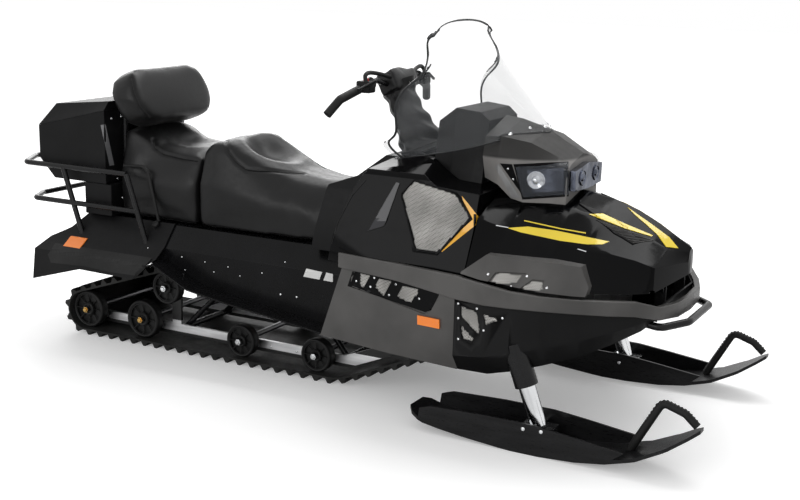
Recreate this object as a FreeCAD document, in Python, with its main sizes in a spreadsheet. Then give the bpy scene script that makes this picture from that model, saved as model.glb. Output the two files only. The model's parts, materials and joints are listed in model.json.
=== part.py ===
import FreeCAD, Part
import math
import os
import Sketcher
from FreeCAD import Placement, Rotation, Vector

# A utility snowmobile for two, parked on its skis and its track.
# +X runs forward, +Y to the rider's left and +Z up.
# The origin lies on the ground, under the middle of the machine.

# Driving dimensions, in millimetres and degrees
SIZES = {
    # Body panels: shares of these three set every panel's lines
    "front_reach": 1500,
    "half_breadth": 550,
    "body_height": 1000,
    "panel_wall": 5,
    "seam": 0.3,
    "moving_gap": 6,
    "overrun": 40,
    # Bumper band and belly pan
    "band_thickness": 24,
    "side_panel_wall": 8,
    # Lamp pod, lens and screen
    "lens_depth": 26,
    "screen_thickness": 4,
    "screen_height": 1477,
    # Tunnel
    "tunnel_rear_x": -1210,
    "tunnel_front_x": 724.2,
    "tunnel_half_width": 325,
    "tunnel_top_half_width": 250,
    "tunnel_top": 558,
    "tunnel_shoulder": 470,
    "tunnel_wall": 3,
    "tunnel_skirt": 30,
    # Running boards, named by the height of the board at each bend
    "board_outer": 430,
    "board_thickness": 6,
    "board_front_x": 110,
    "board_front_height": 255,
    "board_bend_x": -352,
    "board_bend_height": 308,
    "board_kick_x": -557,
    "board_kick_height": 338,
    "board_rear_x": -741,
    "board_rear_height": 424,
    # Track
    "track_width": 600,
    "belt_thickness": 8,
    "lug_height": 19,
    "lug_pitch": 64,
    "lug_base": 36,
    "lug_tip": 12,
    # Wheels and drive
    "idler_x": -1242,
    "idler_radius": 85,
    "second_wheel_x": -926,
    "third_wheel_x": -395,
    "fourth_wheel_x": -17,
    "road_wheel_radius": 70,
    "carrier_x": -792,
    "carrier_height": 275,
    "carrier_radius": 72,
    "sprocket_x": 480,
    "sprocket_height": 284,
    "sprocket_radius": 90,
    "wheel_offset": 250,
    "wheel_width": 38,
    "axle_radius": 12,
    # Slide rails and arms
    "rail_offset": 190,
    "rail_width": 14,
    "rail_height": 50,
    "slider_height": 18,
    "rail_nose_x": 60,
    "rail_nose_radius": 200,
    "rail_tip_x": 330,
    "rail_rear_x": -1200,
    "arm_radius": 14,
    "front_arm_x": -130,
    "front_arm_height": 315,
    "rear_arm_x": -520,
    "rear_arm_height": 322,
    "arm_foot_x": 70,
    "rear_arm_foot_x": -780,
    "arm_offset": 150,
    "shock_radius": 30,
    # Engine block
    "engine_length": 390,
    "engine_width": 460,
    "engine_top": 660,
    "engine_rear_x": 765,
    "engine_bottom": 200,
    # Skis and struts
    "ski_stance": 968,
    "ski_heel_x": 568,
    "ski_length": 1082,
    "ski_width": 200,
    "ski_height": 190,
    "ski_plate": 14,
    "ski_rim": 10,
    "ski_loop_radius": 14,
    "strut_foot_x": 1063,
    "strut_foot_height": 78,
    "strut_rake": 20.5,
    "strut_radius": 31,
    "strut_length": 295,
    "strut_fit": 0.05,
    "sleeve_radius": 43,
    "sleeve_start": 150,
    "sleeve_length": 160,
    "saddle_width": 100,
    "saddle_length": 120,
    "saddle_bolt_radius": 10,
    # Seats
    "seat_half_width": 250,
    "seat_top": 950,
    "driver_seat_rear_x": -640,
    "driver_seat_length": 700,
    "driver_seat_lean": 78,
    "passenger_seat_rear_x": -1070,
    "passenger_seat_length": 424,
    "seat_division": 5,
    # Backrest
    "backrest_half_width": 262,
    "backrest_thickness": 105,
    "backrest_height": 215,
    "backrest_foot_x": -915,
    "backrest_foot_height": 1000,
    "backrest_lean": 22,
    "backrest_bar_radius": 12,
    # Trunk
    "trunk_rear_x": -1490,
    "trunk_front_x": -1105,
    "trunk_half_width": 280,
    "trunk_bottom": 705,
    "trunk_heel": 85,
    "lid_inset": 34,
    "rear_tank_rear_x": -1225,
    "rear_tank_front_x": -1073,
    "rear_tank_half_width": 285,
    "trunk_wall": 5,
    "trunk_seam_rear": 938,
    "trunk_seam_front": 1030,
    "lid_top_rear": 1038,
    "lid_top_front": 1068,
    "lid_wall": 5,
    # Rack
    "rack_tube_radius": 12,
    "rack_half_width": 318,
    "rack_front_x": -955,
    "rack_post_x": -1318,
    "rack_lean": 19,
    "rack_rear_x": -1637,
    "rack_loop_half_width": 155,
    "rack_loop_height": 770,
    "low_loop_x": -1552,
    "low_loop_half_width": 205,
    "low_loop_height": 611,
    # Rear fender and hitch
    "fender_half_width": 425,
    "fender_wall": 5,
    "fender_rear_x": -1422,
    "fender_front_x": -746,
    "fender_crown": 565,
    "fender_low": 264,
    "fender_edge": 405,
    "fender_slot_x": -1100,
    "hitch_pin_radius": 8,
    "hitch_width": 60,
    "hitch_reach_x": -1460,
    "hitch_height": 330,
    "hitch_plate": 10,
    # Steering
    "column_foot_x": 330,
    "column_foot_height": 960,
    "column_rake": 27,
    "column_radius": 14,
    "column_reach": 278,
    "column_socket": 120,
    "bar_radius": 11,
    "bar_rise": 30,
    "bar_half_width": 400,
    "bar_sweep": 95,
    "bar_drop": 62,
    "grip_radius": 17,
    "grip_length": 130,
    "boot_base_radius": 92,
    "boot_top_radius": 42,
    "boot_height": 200,
    # Lights
    "reflector_length": 96,
    "reflector_height": 36,
    "reflector_depth": 8,
    # Hood hinge
    "hinge_x": 1370,
    "hinge_height": 560,
    "hinge_pin_radius": 7,
    "hinge_half_width": 165,
    "hinge_ear": 8,
    "hinge_ear_length": 40,
    "hinge_post_offset": 120,
    # Front bumper tube
    "bumper_radius": 14,
    # Controls on the bar
    "control_length": 52,
    "control_radius": 24,
    "lever_reach": 50,
    "lever_length": 110,
    "lever_radius": 6,
    "pad_depth": 76,
    # Passenger's grab straps
    "strap_radius": 7,
}

document = FreeCAD.newDocument("snowmobile")
sheet = document.addObject("Spreadsheet::Sheet", "Sizes")
for row, (alias, number) in enumerate(SIZES.items(), start=1):
    cell = "A%d" % row
    sheet.set(cell, str(number))
    sheet.setAlias(cell, alias)
document.recompute()


class Length:
    """A length as it is now, with the sheet formula that gives it."""

    def __init__(self, value, formula):
        self.value = float(value)
        self.formula = formula

    def joined(self, sign, other, value):
        text = other.formula if isinstance(other, Length) else repr(float(other))
        return Length(value, "(%s %s %s)" % (self.formula, sign, text))

    def __float__(self):
        return self.value

    def __add__(self, other):
        return self.joined("+", other, self.value + float(other))

    def __sub__(self, other):
        return self.joined("-", other, self.value - float(other))

    def __mul__(self, other):
        return self.joined("*", other, self.value * float(other))

    def __rmul__(self, other):
        return self.joined("*", other, self.value * float(other))

    def __truediv__(self, other):
        return self.joined("/", other, self.value / float(other))

    def __neg__(self):
        return Length(-self.value, "(0 - %s)" % self.formula)


class Sheet:
    """The sheet's cells as lengths, by alias."""

    def __getattr__(self, alias):
        return Length(sheet.get(alias), "Sizes." + alias)


size = Sheet()
ZERO = Length(0, "0")
RIGHT, LEFT = -1, 1
SIDES = (("right", RIGHT), ("left", LEFT))
nodes = []


# Ways of making pieces

def keep(piece, label):
    """Give a finished piece its name and list it for export."""
    piece.Label = label
    nodes.append(piece)
    return piece


def bind(piece, name, length):
    piece.setExpression(name, length.formula)


def shape_feature(label, shape):
    piece = document.addObject("Part::Feature", label)
    piece.Shape = shape
    piece.Placement = Placement()
    return piece


def outline_sketch(body, role, points, offset=ZERO):
    """A closed outline on one of the body's own planes, every corner tied to the sheet."""
    plane = [item for item in body.Origin.OriginFeatures if item.Role == role][0]
    sketch = body.newObject("Sketcher::SketchObject", body.Name + "_outline")
    sketch.AttachmentSupport = (plane, "")
    sketch.MapMode = "FlatFace"
    bind(sketch, "AttachmentOffset.Base.z", offset)
    corners = [Vector(float(x), float(y), 0) for x, y in points]
    last = len(corners) - 1
    for index, corner in enumerate(corners):
        following = corners[0 if index == last else index + 1]
        sketch.addGeometry(Part.LineSegment(corner, following), False)
    for index in range(len(corners)):
        following = 0 if index == last else index + 1
        sketch.addConstraint(Sketcher.Constraint("Coincident", index, 2, following, 1))
    for index, (across, up) in enumerate(points):
        for kind, length in (("DistanceX", across), ("DistanceY", up)):
            number = sketch.addConstraint(
                Sketcher.Constraint(kind, -1, 1, index, 1, float(length)))
            bind(sketch, "Constraints[%d]" % number, length)
    return sketch


def prism_body(name, role, points, depth, offset=ZERO):
    """A body padded from an outline; on the XZ plane the pad runs towards -Y."""
    body = document.addObject("PartDesign::Body", name)
    sketch = outline_sketch(body, role, points, offset)
    pad = body.newObject("PartDesign::Pad", name + "_pad")
    pad.Profile = sketch
    bind(pad, "Length", depth)
    return body


def pocket(body, role, points, depth, offset=ZERO):
    sketch = outline_sketch(body, role, points, offset)
    cut = body.newObject("PartDesign::Pocket", body.Name + "_pocket")
    cut.Profile = sketch
    cut.SideType = "Symmetric"
    bind(cut, "Length", depth)
    return body


def side_prism(name, points, near, far, side):
    """An outline on the XZ plane, padded from |y| = near to |y| = far on one side."""
    start = near if side == RIGHT else -far
    return prism_body(name, "XZ_Plane", points, far - near, start)


def centred_prism(name, points, half_width):
    return prism_body(name, "XZ_Plane", points, half_width * 2, -half_width)


def placed(piece, x, y, z, rotation=Rotation()):
    piece.Placement = Placement(Vector(float(x), float(y), float(z)), rotation)
    for axis, length in (("x", x), ("y", y), ("z", z)):
        bind(piece, ".Placement.Base." + axis, length)
    return piece


ALONG_Y = Rotation(Vector(1, 0, 0), -90)


def cross_rod(name, radius, x, z, start, length):
    """A round bar along Y from y = start."""
    rod = document.addObject("Part::Cylinder", name)
    bind(rod, "Radius", radius)
    bind(rod, "Height", length)
    return placed(rod, x, start, z, ALONG_Y)


def tilt(degrees):
    """A turn about Y that leans +Z backwards by so many degrees."""
    return Rotation(Vector(0, -1, 0), float(degrees))


def leaning_rod(name, radius, x, y, z, height, lean, start=ZERO):
    """A round bar that rises from a foot and leans backwards."""
    rod = document.addObject("Part::Cylinder", name)
    bind(rod, "Radius", radius)
    bind(rod, "Height", height)
    rod.Placement = Placement(Vector(float(x), float(y), float(z)), tilt(lean))
    bind(rod, ".Placement.Rotation.Angle", lean)
    away = "(%s) * sin(%s)" % (start.formula, lean.formula)
    up = "(%s) * cos(%s)" % (start.formula, lean.formula)
    rod.setExpression(".Placement.Base.x", "%s - %s" % (x.formula, away))
    bind(rod, ".Placement.Base.y", y)
    rod.setExpression(".Placement.Base.z", "%s + %s" % (z.formula, up))
    return rod


def vector(x, y, z):
    return Vector(float(x), float(y), float(z))


def polygon(points):
    return Part.makePolygon(list(points) + [points[0]])


def ruled(sections):
    """A solid through closed outlines with the same number of corners."""
    return Part.makeLoft([polygon(section) for section in sections], True, True)


def rounded_path(points, bend):
    """Straight runs joined by tangent arcs of one radius."""
    edges = []
    start = points[0]
    for before, corner, after in zip(points, points[1:], points[2:]):
        back = (before - corner).normalize()
        ahead = (after - corner).normalize()
        half_angle = back.getAngle(ahead) / 2
        trim = float(bend) / math.tan(half_angle)
        enter = corner + back * trim
        leave = corner + ahead * trim
        inward = (back + ahead).normalize()
        centre = corner + inward * (float(bend) / math.sin(half_angle))
        middle = centre - inward * float(bend)
        edges.append(Part.makeLine(start, enter))
        edges.append(Part.Arc(enter, middle, leave).toShape())
        start = leave
    edges.append(Part.makeLine(start, points[-1]))
    return Part.Wire(edges)


def tube(points, radius, bend):
    """A round bar bent along a path."""
    path = rounded_path(points, bend) if len(points) > 2 else Part.Wire([Part.makeLine(*points)])
    direction = points[1] - points[0]
    ring = Part.Wire([Part.makeCircle(float(radius), points[0], direction)])
    return path.makePipeShell([ring], True, True, 2)


def mirrored(shape):
    return shape.mirror(Vector(0, 0, 0), Vector(0, 1, 0))


def both_sides(shape):
    return Part.Compound([shape, mirrored(shape)])


def sunk_windows(base, outlines, depth):
    """What shallow windows in a flank take away, cut to outlines seen from the side."""
    reach = Vector(0, -float(size.half_breadth) * 2, 0)
    floor = base.translated(Vector(0, float(depth), 0))
    regions = []
    for outline_shares in outlines:
        corners = [body_point(x_share, 0, z_share) for x_share, z_share in outline_shares]
        column = Part.Face(polygon(corners)).extrude(reach)
        regions.append(base.common(column).cut(floor))
    return regions


# Lines of the body panels, right half: shares of reach, half breadth and height
BAND_TOP_SHARES = (
    (0.133, 0.836, 0.600), (0.320, 0.909, 0.600), (0.493, 0.973, 0.597), (0.570, 0.990, 0.583),
    (0.633, 0.985, 0.570), (0.705, 0.930, 0.561), (0.780, 0.850, 0.555), (0.845, 0.745, 0.551),
    (0.901, 0.618, 0.545), (0.941, 0.455, 0.515), (0.965, 0.247, 0.512), (0.970, 0.0, 0.512))
BAND_BOTTOM_SHARES = (
    0.540, 0.533, 0.509, 0.505, 0.507, 0.505, 0.502, 0.496, 0.490, 0.465, 0.457, 0.455)


def body_point(x_share, y_share, z_share, side=RIGHT):
    return Vector(float(size.front_reach) * x_share, side * float(size.half_breadth) * y_share,
                  float(size.body_height) * z_share)


def inset_plan(points, distance):
    """Move a plan line of the right side inwards, square to itself."""
    moved = []
    for index, point in enumerate(points):
        before = points[max(index - 1, 0)]
        after = points[min(index + 1, len(points) - 1)]
        run = Vector(after.x - before.x, after.y - before.y, 0).normalize()
        inward = Vector(-run.y, run.x, 0) * float(distance)
        if index == len(points) - 1:
            inward = Vector(-float(distance), 0, 0)
        moved.append(point + inward)
    return moved


def band_line(inset, shares_up=None, lift=0.0):
    """The band's plan line moved in, at the top edge or at given height shares."""
    points = []
    for index, (x_share, y_share, z_share) in enumerate(BAND_TOP_SHARES):
        height = z_share if shares_up is None else shares_up[index]
        points.append(body_point(x_share, y_share, height + lift))
    return inset_plan(points, inset)


def whole_line(right_line):
    """A right-hand line that ends on the middle plane, carried round to the left."""
    return right_line + [Vector(p.x, -p.y, p.z) for p in reversed(right_line[:-1])]


def make_bumper_band():
    outer_top = whole_line(band_line(0))
    outer_low = whole_line(band_line(0, BAND_BOTTOM_SHARES))
    inner_top = whole_line(band_line(size.band_thickness))
    inner_low = whole_line(band_line(size.band_thickness, BAND_BOTTOM_SHARES))
    band = ruled(list(zip(outer_top, outer_low, inner_low, inner_top)))
    keep(shape_feature("bumper_band", band), "bumper_band")


# Belly pan: shares of half breadth and height for the floor's edge and the lower crease
BELLY_SHARES = (
    (0.483, 0.845, 0.226, 0.930, 0.290), (0.570, 0.885, 0.236, 0.975, 0.312),
    (0.633, 0.890, 0.262, 0.965, 0.340),
    (0.705, 0.835, 0.295, 0.890, 0.368), (0.780, 0.745, 0.332, 0.800, 0.398),
    (0.845, 0.630, 0.376, 0.690, 0.428), (0.901, 0.490, 0.422, 0.545, 0.455),
    (0.930, 0.380, 0.462, 0.400, 0.472))


def belly_section(x_share, floor_share, floor_up_share, crease_share, crease_up_share, wall, lift):
    """One closed cross section of the pan, floor, creases and upright rim."""
    x = float(size.front_reach) * x_share
    rim_top = interpolate(band_line(size.band_thickness + size.seam), x)
    rim_low = interpolate(band_line(size.band_thickness + size.seam, BAND_BOTTOM_SHARES), x)
    half = float(size.half_breadth)
    height = float(size.body_height)
    floor = Vector(x, -(half * floor_share - wall), height * floor_up_share + wall)
    crease = Vector(x, -(half * crease_share - wall), height * crease_up_share)
    low_rim = Vector(x, rim_low.y + wall, rim_low.z - float(size.band_thickness) / 2)
    top_rim = Vector(x, rim_top.y + wall, rim_top.z - float(size.band_thickness) / 2 + lift)
    right = [floor, crease, low_rim, top_rim]
    return right + [Vector(p.x, -p.y, p.z) for p in reversed(right)]


def interpolate(line, x):
    """The point of a fore-and-aft line at a station."""
    for start, end in zip(line, line[1:]):
        if start.x <= x <= end.x:
            share = (x - start.x) / (end.x - start.x)
            return start + (end - start) * share
    return line[-1] if x > line[-1].x else line[0]


def strut_axis(side):
    foot = Vector(float(size.strut_foot_x), side * float(size.ski_stance) / 2,
                  float(size.strut_foot_height))
    return foot, tilt(size.strut_rake).multVec(Vector(0, 0, 1))


def belly_block():
    return ruled([belly_section(*row, 0.0, 0.0) for row in BELLY_SHARES])


def belly_hollow(wall):
    """The inside of the pan, open at the top."""
    rows = [belly_section(*row, wall, float(size.overrun)) for row in BELLY_SHARES]
    shift = Vector(wall, 0, 0)
    rows[0] = [point + shift for point in rows[0]]
    rows[-1] = [point - shift for point in rows[-1]]
    return ruled(rows)


def hinge_centre():
    return vector(size.hinge_x, ZERO, size.hinge_height)


def hinge_pin(radius, half_width):
    start = hinge_centre() - Vector(0, half_width, 0)
    return Part.makeCylinder(radius, half_width * 2, start, Vector(0, 1, 0))


def make_belly_pan():
    pan = belly_block().cut(belly_hollow(float(size.panel_wall)))
    reach = float(size.sleeve_start + size.sleeve_length + size.seam)
    for name, side in SIDES:
        foot, axis = strut_axis(side)
        pan = pan.cut(Part.makeCylinder(float(size.sleeve_radius + size.seam), reach, foot, axis))
    length = float(size.hinge_ear_length)
    ear = float(size.hinge_ear)
    centre = hinge_centre()
    outside = belly_block().cut(belly_hollow(float(size.panel_wall) / 2))
    fittings = [hinge_pin(float(size.hinge_pin_radius), float(size.hinge_half_width))]
    for name, side in SIDES:
        middle = side * float(size.hinge_post_offset)
        post = Part.makeBox(length, ear, centre.z,
                            Vector(centre.x - length / 2, middle - ear / 2, 0))
        post = max(post.cut(outside).Solids, key=lambda solid: solid.BoundBox.ZMax)
        fittings.append(post)
    windows = sunk_windows(pan, BELLY_WINDOW_SHARES, size.panel_wall / 2)
    pan = pan.cut(windows + [mirrored(window) for window in windows])
    keep(shape_feature("belly_pan", pan.multiFuse(fittings)), "belly_pan")


# Mesh windows ahead of the side panel, seen from the side: shares of reach and height
BELLY_WINDOW_SHARES = (
    ((0.502, 0.485), (0.547, 0.471), (0.557, 0.391), (0.547, 0.389), (0.504, 0.444)),
    ((0.501, 0.412), (0.539, 0.362), (0.535, 0.350), (0.508, 0.360)),
    ((0.563, 0.471), (0.608, 0.456), (0.573, 0.429)))


# Side panels: station and height share of the top edge, then station, breadth and height
# shares of the low edge; the top edge tucks behind the band
SIDE_PANEL_SHARES = (
    (0.141, 0.555, 0.074, 0.800, 0.251), (0.300, 0.555, 0.290, 0.842, 0.236),
    (0.483, 0.555, 0.483, 0.855, 0.226))


def side_panel_points(row, shift):
    top_x_share, top_up_share, low_x_share, low_share, low_up_share = row
    behind_band = interpolate(band_line(size.band_thickness + size.seam),
                              float(size.front_reach) * top_x_share)
    top = Vector(behind_band.x, behind_band.y, float(size.body_height) * top_up_share)
    low_band = interpolate(band_line(size.band_thickness + size.seam, BAND_BOTTOM_SHARES), top.x)
    low = body_point(low_x_share, low_share, low_up_share)
    knee_height = low_band.z - float(size.band_thickness) / 2
    knee_share = (top.z - knee_height) / (top.z - low.z)
    knee = Vector(top.x + (low.x - top.x) * knee_share, top.y, knee_height)
    inward = Vector(0, float(size.side_panel_wall), 0)
    outline = (top, knee, low, low + inward, knee + inward, top + inward)
    return [point - Vector(shift, 0, 0) for point in outline]


def make_side_panels():
    shifts = (0.0, 0.0, float(size.seam))
    sections = [side_panel_points(row, shift) for row, shift in zip(SIDE_PANEL_SHARES, shifts)]
    panel = ruled(sections).cut(document.getObject("bumper_band").Shape)
    panel = max(panel.Solids, key=lambda solid: solid.Volume)
    panel = panel.cut(sunk_windows(panel, SIDE_WINDOW_SHARES, size.side_panel_wall * 2 / 3))
    keep(shape_feature("side_panels", both_sides(panel)), "side_panels")


# The sunk vent behind the band, seen from the side: shares of reach and height
SIDE_WINDOW_SHARES = (
    ((0.180, 0.538), (0.165, 0.474), (0.392, 0.419), (0.410, 0.432), (0.437, 0.499), (0.440, 0.545),
     (0.300, 0.548)),)


# Hood: station share, then breadth and height shares of base, crease and shoulder, crown height
HOOD_SHARES = (
    (0.502, 0.885, 0.610, 0.715, 0.785, 0.400, 0.850, 0.872),
    (0.573, 0.920, 0.597, 0.650, 0.748, 0.370, 0.840, 0.868),
    (0.633, 0.905, 0.585, 0.612, 0.733, 0.345, 0.832, 0.866),
    (0.685, 0.865, 0.575, 0.585, 0.722, 0.320, 0.818, 0.860),
    (0.759, 0.780, 0.568, 0.545, 0.700, 0.270, 0.788, 0.838),
    (0.819, 0.685, 0.565, 0.505, 0.690, 0.225, 0.760, 0.808),
    (0.871, 0.575, 0.560, 0.455, 0.672, 0.185, 0.728, 0.770),
    (0.916, 0.413, 0.555, 0.413, 0.648, 0.150, 0.692, 0.730),
    (0.960, 0.050, 0.592, 0.050, 0.640, 0.040, 0.676, 0.690))


def hood_section(row, wall, drop, shift):
    x_share, base, base_up, crease, crease_up, shoulder, shoulder_up, crown_up = row
    x = float(size.front_reach) * x_share + shift
    half = float(size.half_breadth)
    height = float(size.body_height)
    right = [Vector(x, -max(half * base - wall, wall), height * base_up - drop),
             Vector(x, -max(half * crease - wall, wall), height * crease_up - wall),
             Vector(x, -max(half * shoulder - wall, wall), height * shoulder_up - wall),
             Vector(x, 0, height * crown_up - wall)]
    return right + [Vector(p.x, -p.y, p.z) for p in reversed(right[:-1])]


def hood_block(lift=0.0):
    sections = [hood_section(row, 0.0, 0.0, 0.0) for row in HOOD_SHARES]
    return ruled([[point + Vector(0, 0, lift) for point in section] for section in sections])


def plate_below(plate, height):
    """The part of an upright plate that lies below a height."""
    box = plate.BoundBox
    return Part.makeBox(box.XLength, box.YLength, height + float(size.overrun) - box.ZMin,
                        Vector(box.XMin, box.YMin, box.ZMin))


def make_hood():
    wall = float(size.panel_wall)
    inner = [hood_section(row, wall, float(size.overrun), 0.0) for row in HOOD_SHARES]
    inner[0] = hood_section(HOOD_SHARES[0], wall, float(size.overrun), -float(size.overrun))
    inner[-1] = hood_section(HOOD_SHARES[-1], wall, float(size.overrun), -wall * 2)
    inner[-2] = hood_section(HOOD_SHARES[-2], wall, float(size.overrun), -wall)
    hood = hood_block().cut(ruled(inner))
    length = float(size.hinge_ear_length)
    ear = float(size.hinge_ear)
    centre = hinge_centre()
    bore = hinge_pin(float(size.hinge_pin_radius + size.strut_fit), float(size.hinge_half_width) * 2)
    ears = []
    for name, side in SIDES:
        middle = side * (float(size.hinge_half_width) - ear)
        plate = Part.makeBox(length, ear, centre.z, Vector(centre.x - length / 2, middle - ear / 2,
                                                           centre.z - length / 3))
        ears.append(plate.common(hood_block(-wall / 2).fuse(plate_below(plate, centre.z))))
    hood = hood.multiFuse(ears).cut(bore)
    keep(shape_feature("hood", hood), "hood")


# Hood vents: plan corners of the raised ribbed panel, shares of reach and half breadth
HOOD_VENT_SHARES = ((0.690, 0.225), (0.800, 0.330), (0.850, 0.330), (0.858, 0.270), (0.765, 0.200))


def upright_prism(plan_shares, low, high):
    corners = [body_point(x_share, y_share, 0) for x_share, y_share in plan_shares]
    base = Part.Face(polygon([corner + Vector(0, 0, low) for corner in corners]))
    return base.extrude(Vector(0, 0, high - low))


def make_hood_vents():
    height = float(size.body_height)
    column = upright_prism(HOOD_VENT_SHARES, height / 2, height)
    skin = hood_block(float(size.panel_wall)).common(column).cut(hood_block())
    keep(shape_feature("hood_vents", both_sides(skin)), "hood_vents")


# Side scoops on the hood's flanks: station, then breadth and height of top and low edges
SCOOP_SHARES = (
    (0.502, 0.955, 0.606, 0.955, 0.612), (0.553, 0.965, 0.595, 0.860, 0.676),
    (0.700, 0.915, 0.574, 0.790, 0.668), (0.770, 0.840, 0.566, 0.700, 0.655),
    (0.797, 0.800, 0.564, 0.740, 0.590))


def make_scoops():
    half = float(size.half_breadth)
    height = float(size.body_height)
    inner = half / 2
    sections = []
    for x_share, low_share, low_up_share, top_share, top_up_share in SCOOP_SHARES:
        x = float(size.front_reach) * x_share
        sections.append([Vector(x, -half * low_share, height * low_up_share),
                         Vector(x, -half * top_share, height * top_up_share),
                         Vector(x, -inner, height * top_up_share),
                         Vector(x, -inner, height * low_up_share)])
    scoop = ruled(sections).cut(hood_block())
    scoop = max(scoop.Solids, key=lambda solid: solid.Volume)
    scoop = scoop.cut(sunk_windows(scoop, SCOOP_WINDOW_SHARES, size.panel_wall))
    keep(shape_feature("side_scoops", both_sides(scoop)), "side_scoops")


# Mesh windows in the scoop, seen from the side: shares of reach and height
SCOOP_WINDOW_SHARES = (
    ((0.586, 0.622), (0.607, 0.626), (0.658, 0.629), (0.644, 0.592), (0.611, 0.578), (0.572, 0.585)),
    ((0.676, 0.612), (0.703, 0.611), (0.706, 0.578), (0.678, 0.574), (0.650, 0.577)))


# Lamp pod: station, then breadth and height of foot, brow edge and crown
POD_SHARES = (
    (0.453, 0.330, 0.900, 0.380, 0.985, 0.345, 1.060, 1.120),
    (0.500, 0.400, 0.885, 0.400, 1.000, 0.355, 1.064, 1.112),
    (0.570, 0.410, 0.800, 0.385, 0.985, 0.300, 1.045, 1.083),
    (0.640, 0.345, 0.800, 0.330, 0.965, 0.240, 0.995, 1.022),
    (0.668, 0.300, 0.800, 0.290, 0.955, 0.215, 0.975, 1.000))


def pod_block():
    half = float(size.half_breadth)
    height = float(size.body_height)
    sections = []
    for x_share, foot, foot_up, brow, brow_up, ridge, ridge_up, crown_up in POD_SHARES:
        x = float(size.front_reach) * x_share
        right = [Vector(x, -half * foot, height * foot_up), Vector(x, -half * brow, height * brow_up),
                 Vector(x, -half * ridge, height * ridge_up), Vector(x, 0, height * crown_up)]
        sections.append(right + [Vector(p.x, -p.y, p.z) for p in reversed(right[:-1])])
    return ruled(sections)


# Lens: breadth and height shares of its corners on the pod's front face
LENS_SHARES = ((0.255, 0.875), (0.262, 0.950), (0.0, 0.968), (0.0, 0.868))


# The lamp's hollow as a share of the lens that closes it
LENS_OPENING_SHARE = 0.92


def make_pod_and_lens():
    front = float(size.front_reach) * POD_SHARES[-1][0]
    half = float(size.half_breadth)
    height = float(size.body_height)
    depth = float(size.lens_depth)
    pod = pod_block().cut(hood_block())
    corners = [Vector(front, -half * y_share, height * z_share) for y_share, z_share in LENS_SHARES]
    outline = corners[:3] + [Vector(p.x, -p.y, p.z) for p in reversed(corners[:2])]
    outline.append(corners[3])
    lens = Part.Face(polygon(outline)).extrude(Vector(depth, 0, 0)).cut(hood_block())
    centre = sum(outline, Vector(0, 0, 0)) / len(outline)
    rim = [centre + (corner - centre) * LENS_OPENING_SHARE for corner in outline]
    pod = pod.cut(Part.Face(polygon(rim)).extrude(Vector(-depth * 2, 0, 0)))
    keep(shape_feature("lamp_pod", pod), "lamp_pod")
    keep(shape_feature("headlamp_lens", lens), "headlamp_lens")


# Screen: rows from foot to top; each row gives forward place and breadth from the middle to the
# edge as shares of reach and half breadth, and height as a share of the way up from its foot
SCREEN_FOOT_SHARE = 0.960
SCREEN_SHARES = (
    ((0.581, 0.000, 0.202), (0.541, 0.200, 0.193), (0.490, 0.373, 0.167),
     (0.387, 0.500, 0.081), (0.272, 0.627, 0.018)),
    ((0.533, 0.000, 0.354), (0.501, 0.227, 0.345), (0.448, 0.418, 0.322),
     (0.357, 0.573, 0.248), (0.259, 0.682, 0.190)),
    ((0.481, 0.000, 0.509), (0.455, 0.245, 0.503), (0.408, 0.445, 0.486),
     (0.337, 0.591, 0.443), (0.261, 0.687, 0.374)),
    ((0.428, 0.000, 0.667), (0.408, 0.245, 0.661), (0.375, 0.436, 0.647),
     (0.331, 0.564, 0.618), (0.283, 0.664, 0.529)),
    ((0.383, 0.000, 0.799), (0.371, 0.236, 0.790), (0.349, 0.409, 0.770),
     (0.331, 0.531, 0.724), (0.320, 0.618, 0.641)),
    ((0.347, 0.000, 0.908), (0.341, 0.218, 0.900), (0.332, 0.364, 0.879),
     (0.326, 0.476, 0.833), (0.323, 0.556, 0.776)),
    ((0.317, 0.000, 1.000), (0.318, 0.182, 0.994), (0.320, 0.318, 0.974),
     (0.323, 0.409, 0.945), (0.324, 0.476, 0.908)))


def make_screen():
    reach = float(size.front_reach)
    half = float(size.half_breadth)
    foot = float(size.body_height) * SCREEN_FOOT_SHARE
    rise = float(size.screen_height) - float(size.screen_thickness) - foot
    grid = []
    for row in SCREEN_SHARES:
        right = [Vector(reach * x, -half * y, foot + rise * z) for x, y, z in row]
        grid.append([Vector(p.x, -p.y, p.z) for p in reversed(right[1:])] + right)
    surface = Part.BSplineSurface()
    surface.interpolate(grid)
    sheet_face = surface.toShape()
    screen = sheet_face.makeOffsetShape(float(size.screen_thickness), 0.01, fill=True)
    screen = screen.cut(pod_block())
    screen = max(screen.Solids, key=lambda solid: solid.Volume)
    keep(shape_feature("windscreen", screen), "windscreen")


# Instrument hood behind the screen: station, then breadth and height of foot and top edges
DASH_SHARES = (
    (0.295, 0.300, 0.840, 0.190, 1.090), (0.355, 0.330, 0.840, 0.260, 1.150),
    (0.420, 0.350, 0.840, 0.250, 1.140), (0.445, 0.345, 0.840, 0.240, 1.110))


def make_dashboard():
    half = float(size.half_breadth)
    height = float(size.body_height)
    sections = []
    for x_share, foot, foot_up, top, top_up in DASH_SHARES:
        x = float(size.front_reach) * x_share
        sections.append([Vector(x, -half * foot, height * foot_up), Vector(x, -half * top, height * top_up),
                         Vector(x, half * top, height * top_up), Vector(x, half * foot, height * foot_up)])
    dashboard = ruled(sections).cut(document.getObject("console").Shape)
    dashboard = max(dashboard.Solids, key=lambda solid: solid.Volume)
    keep(shape_feature("dashboard", dashboard), "dashboard")


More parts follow.
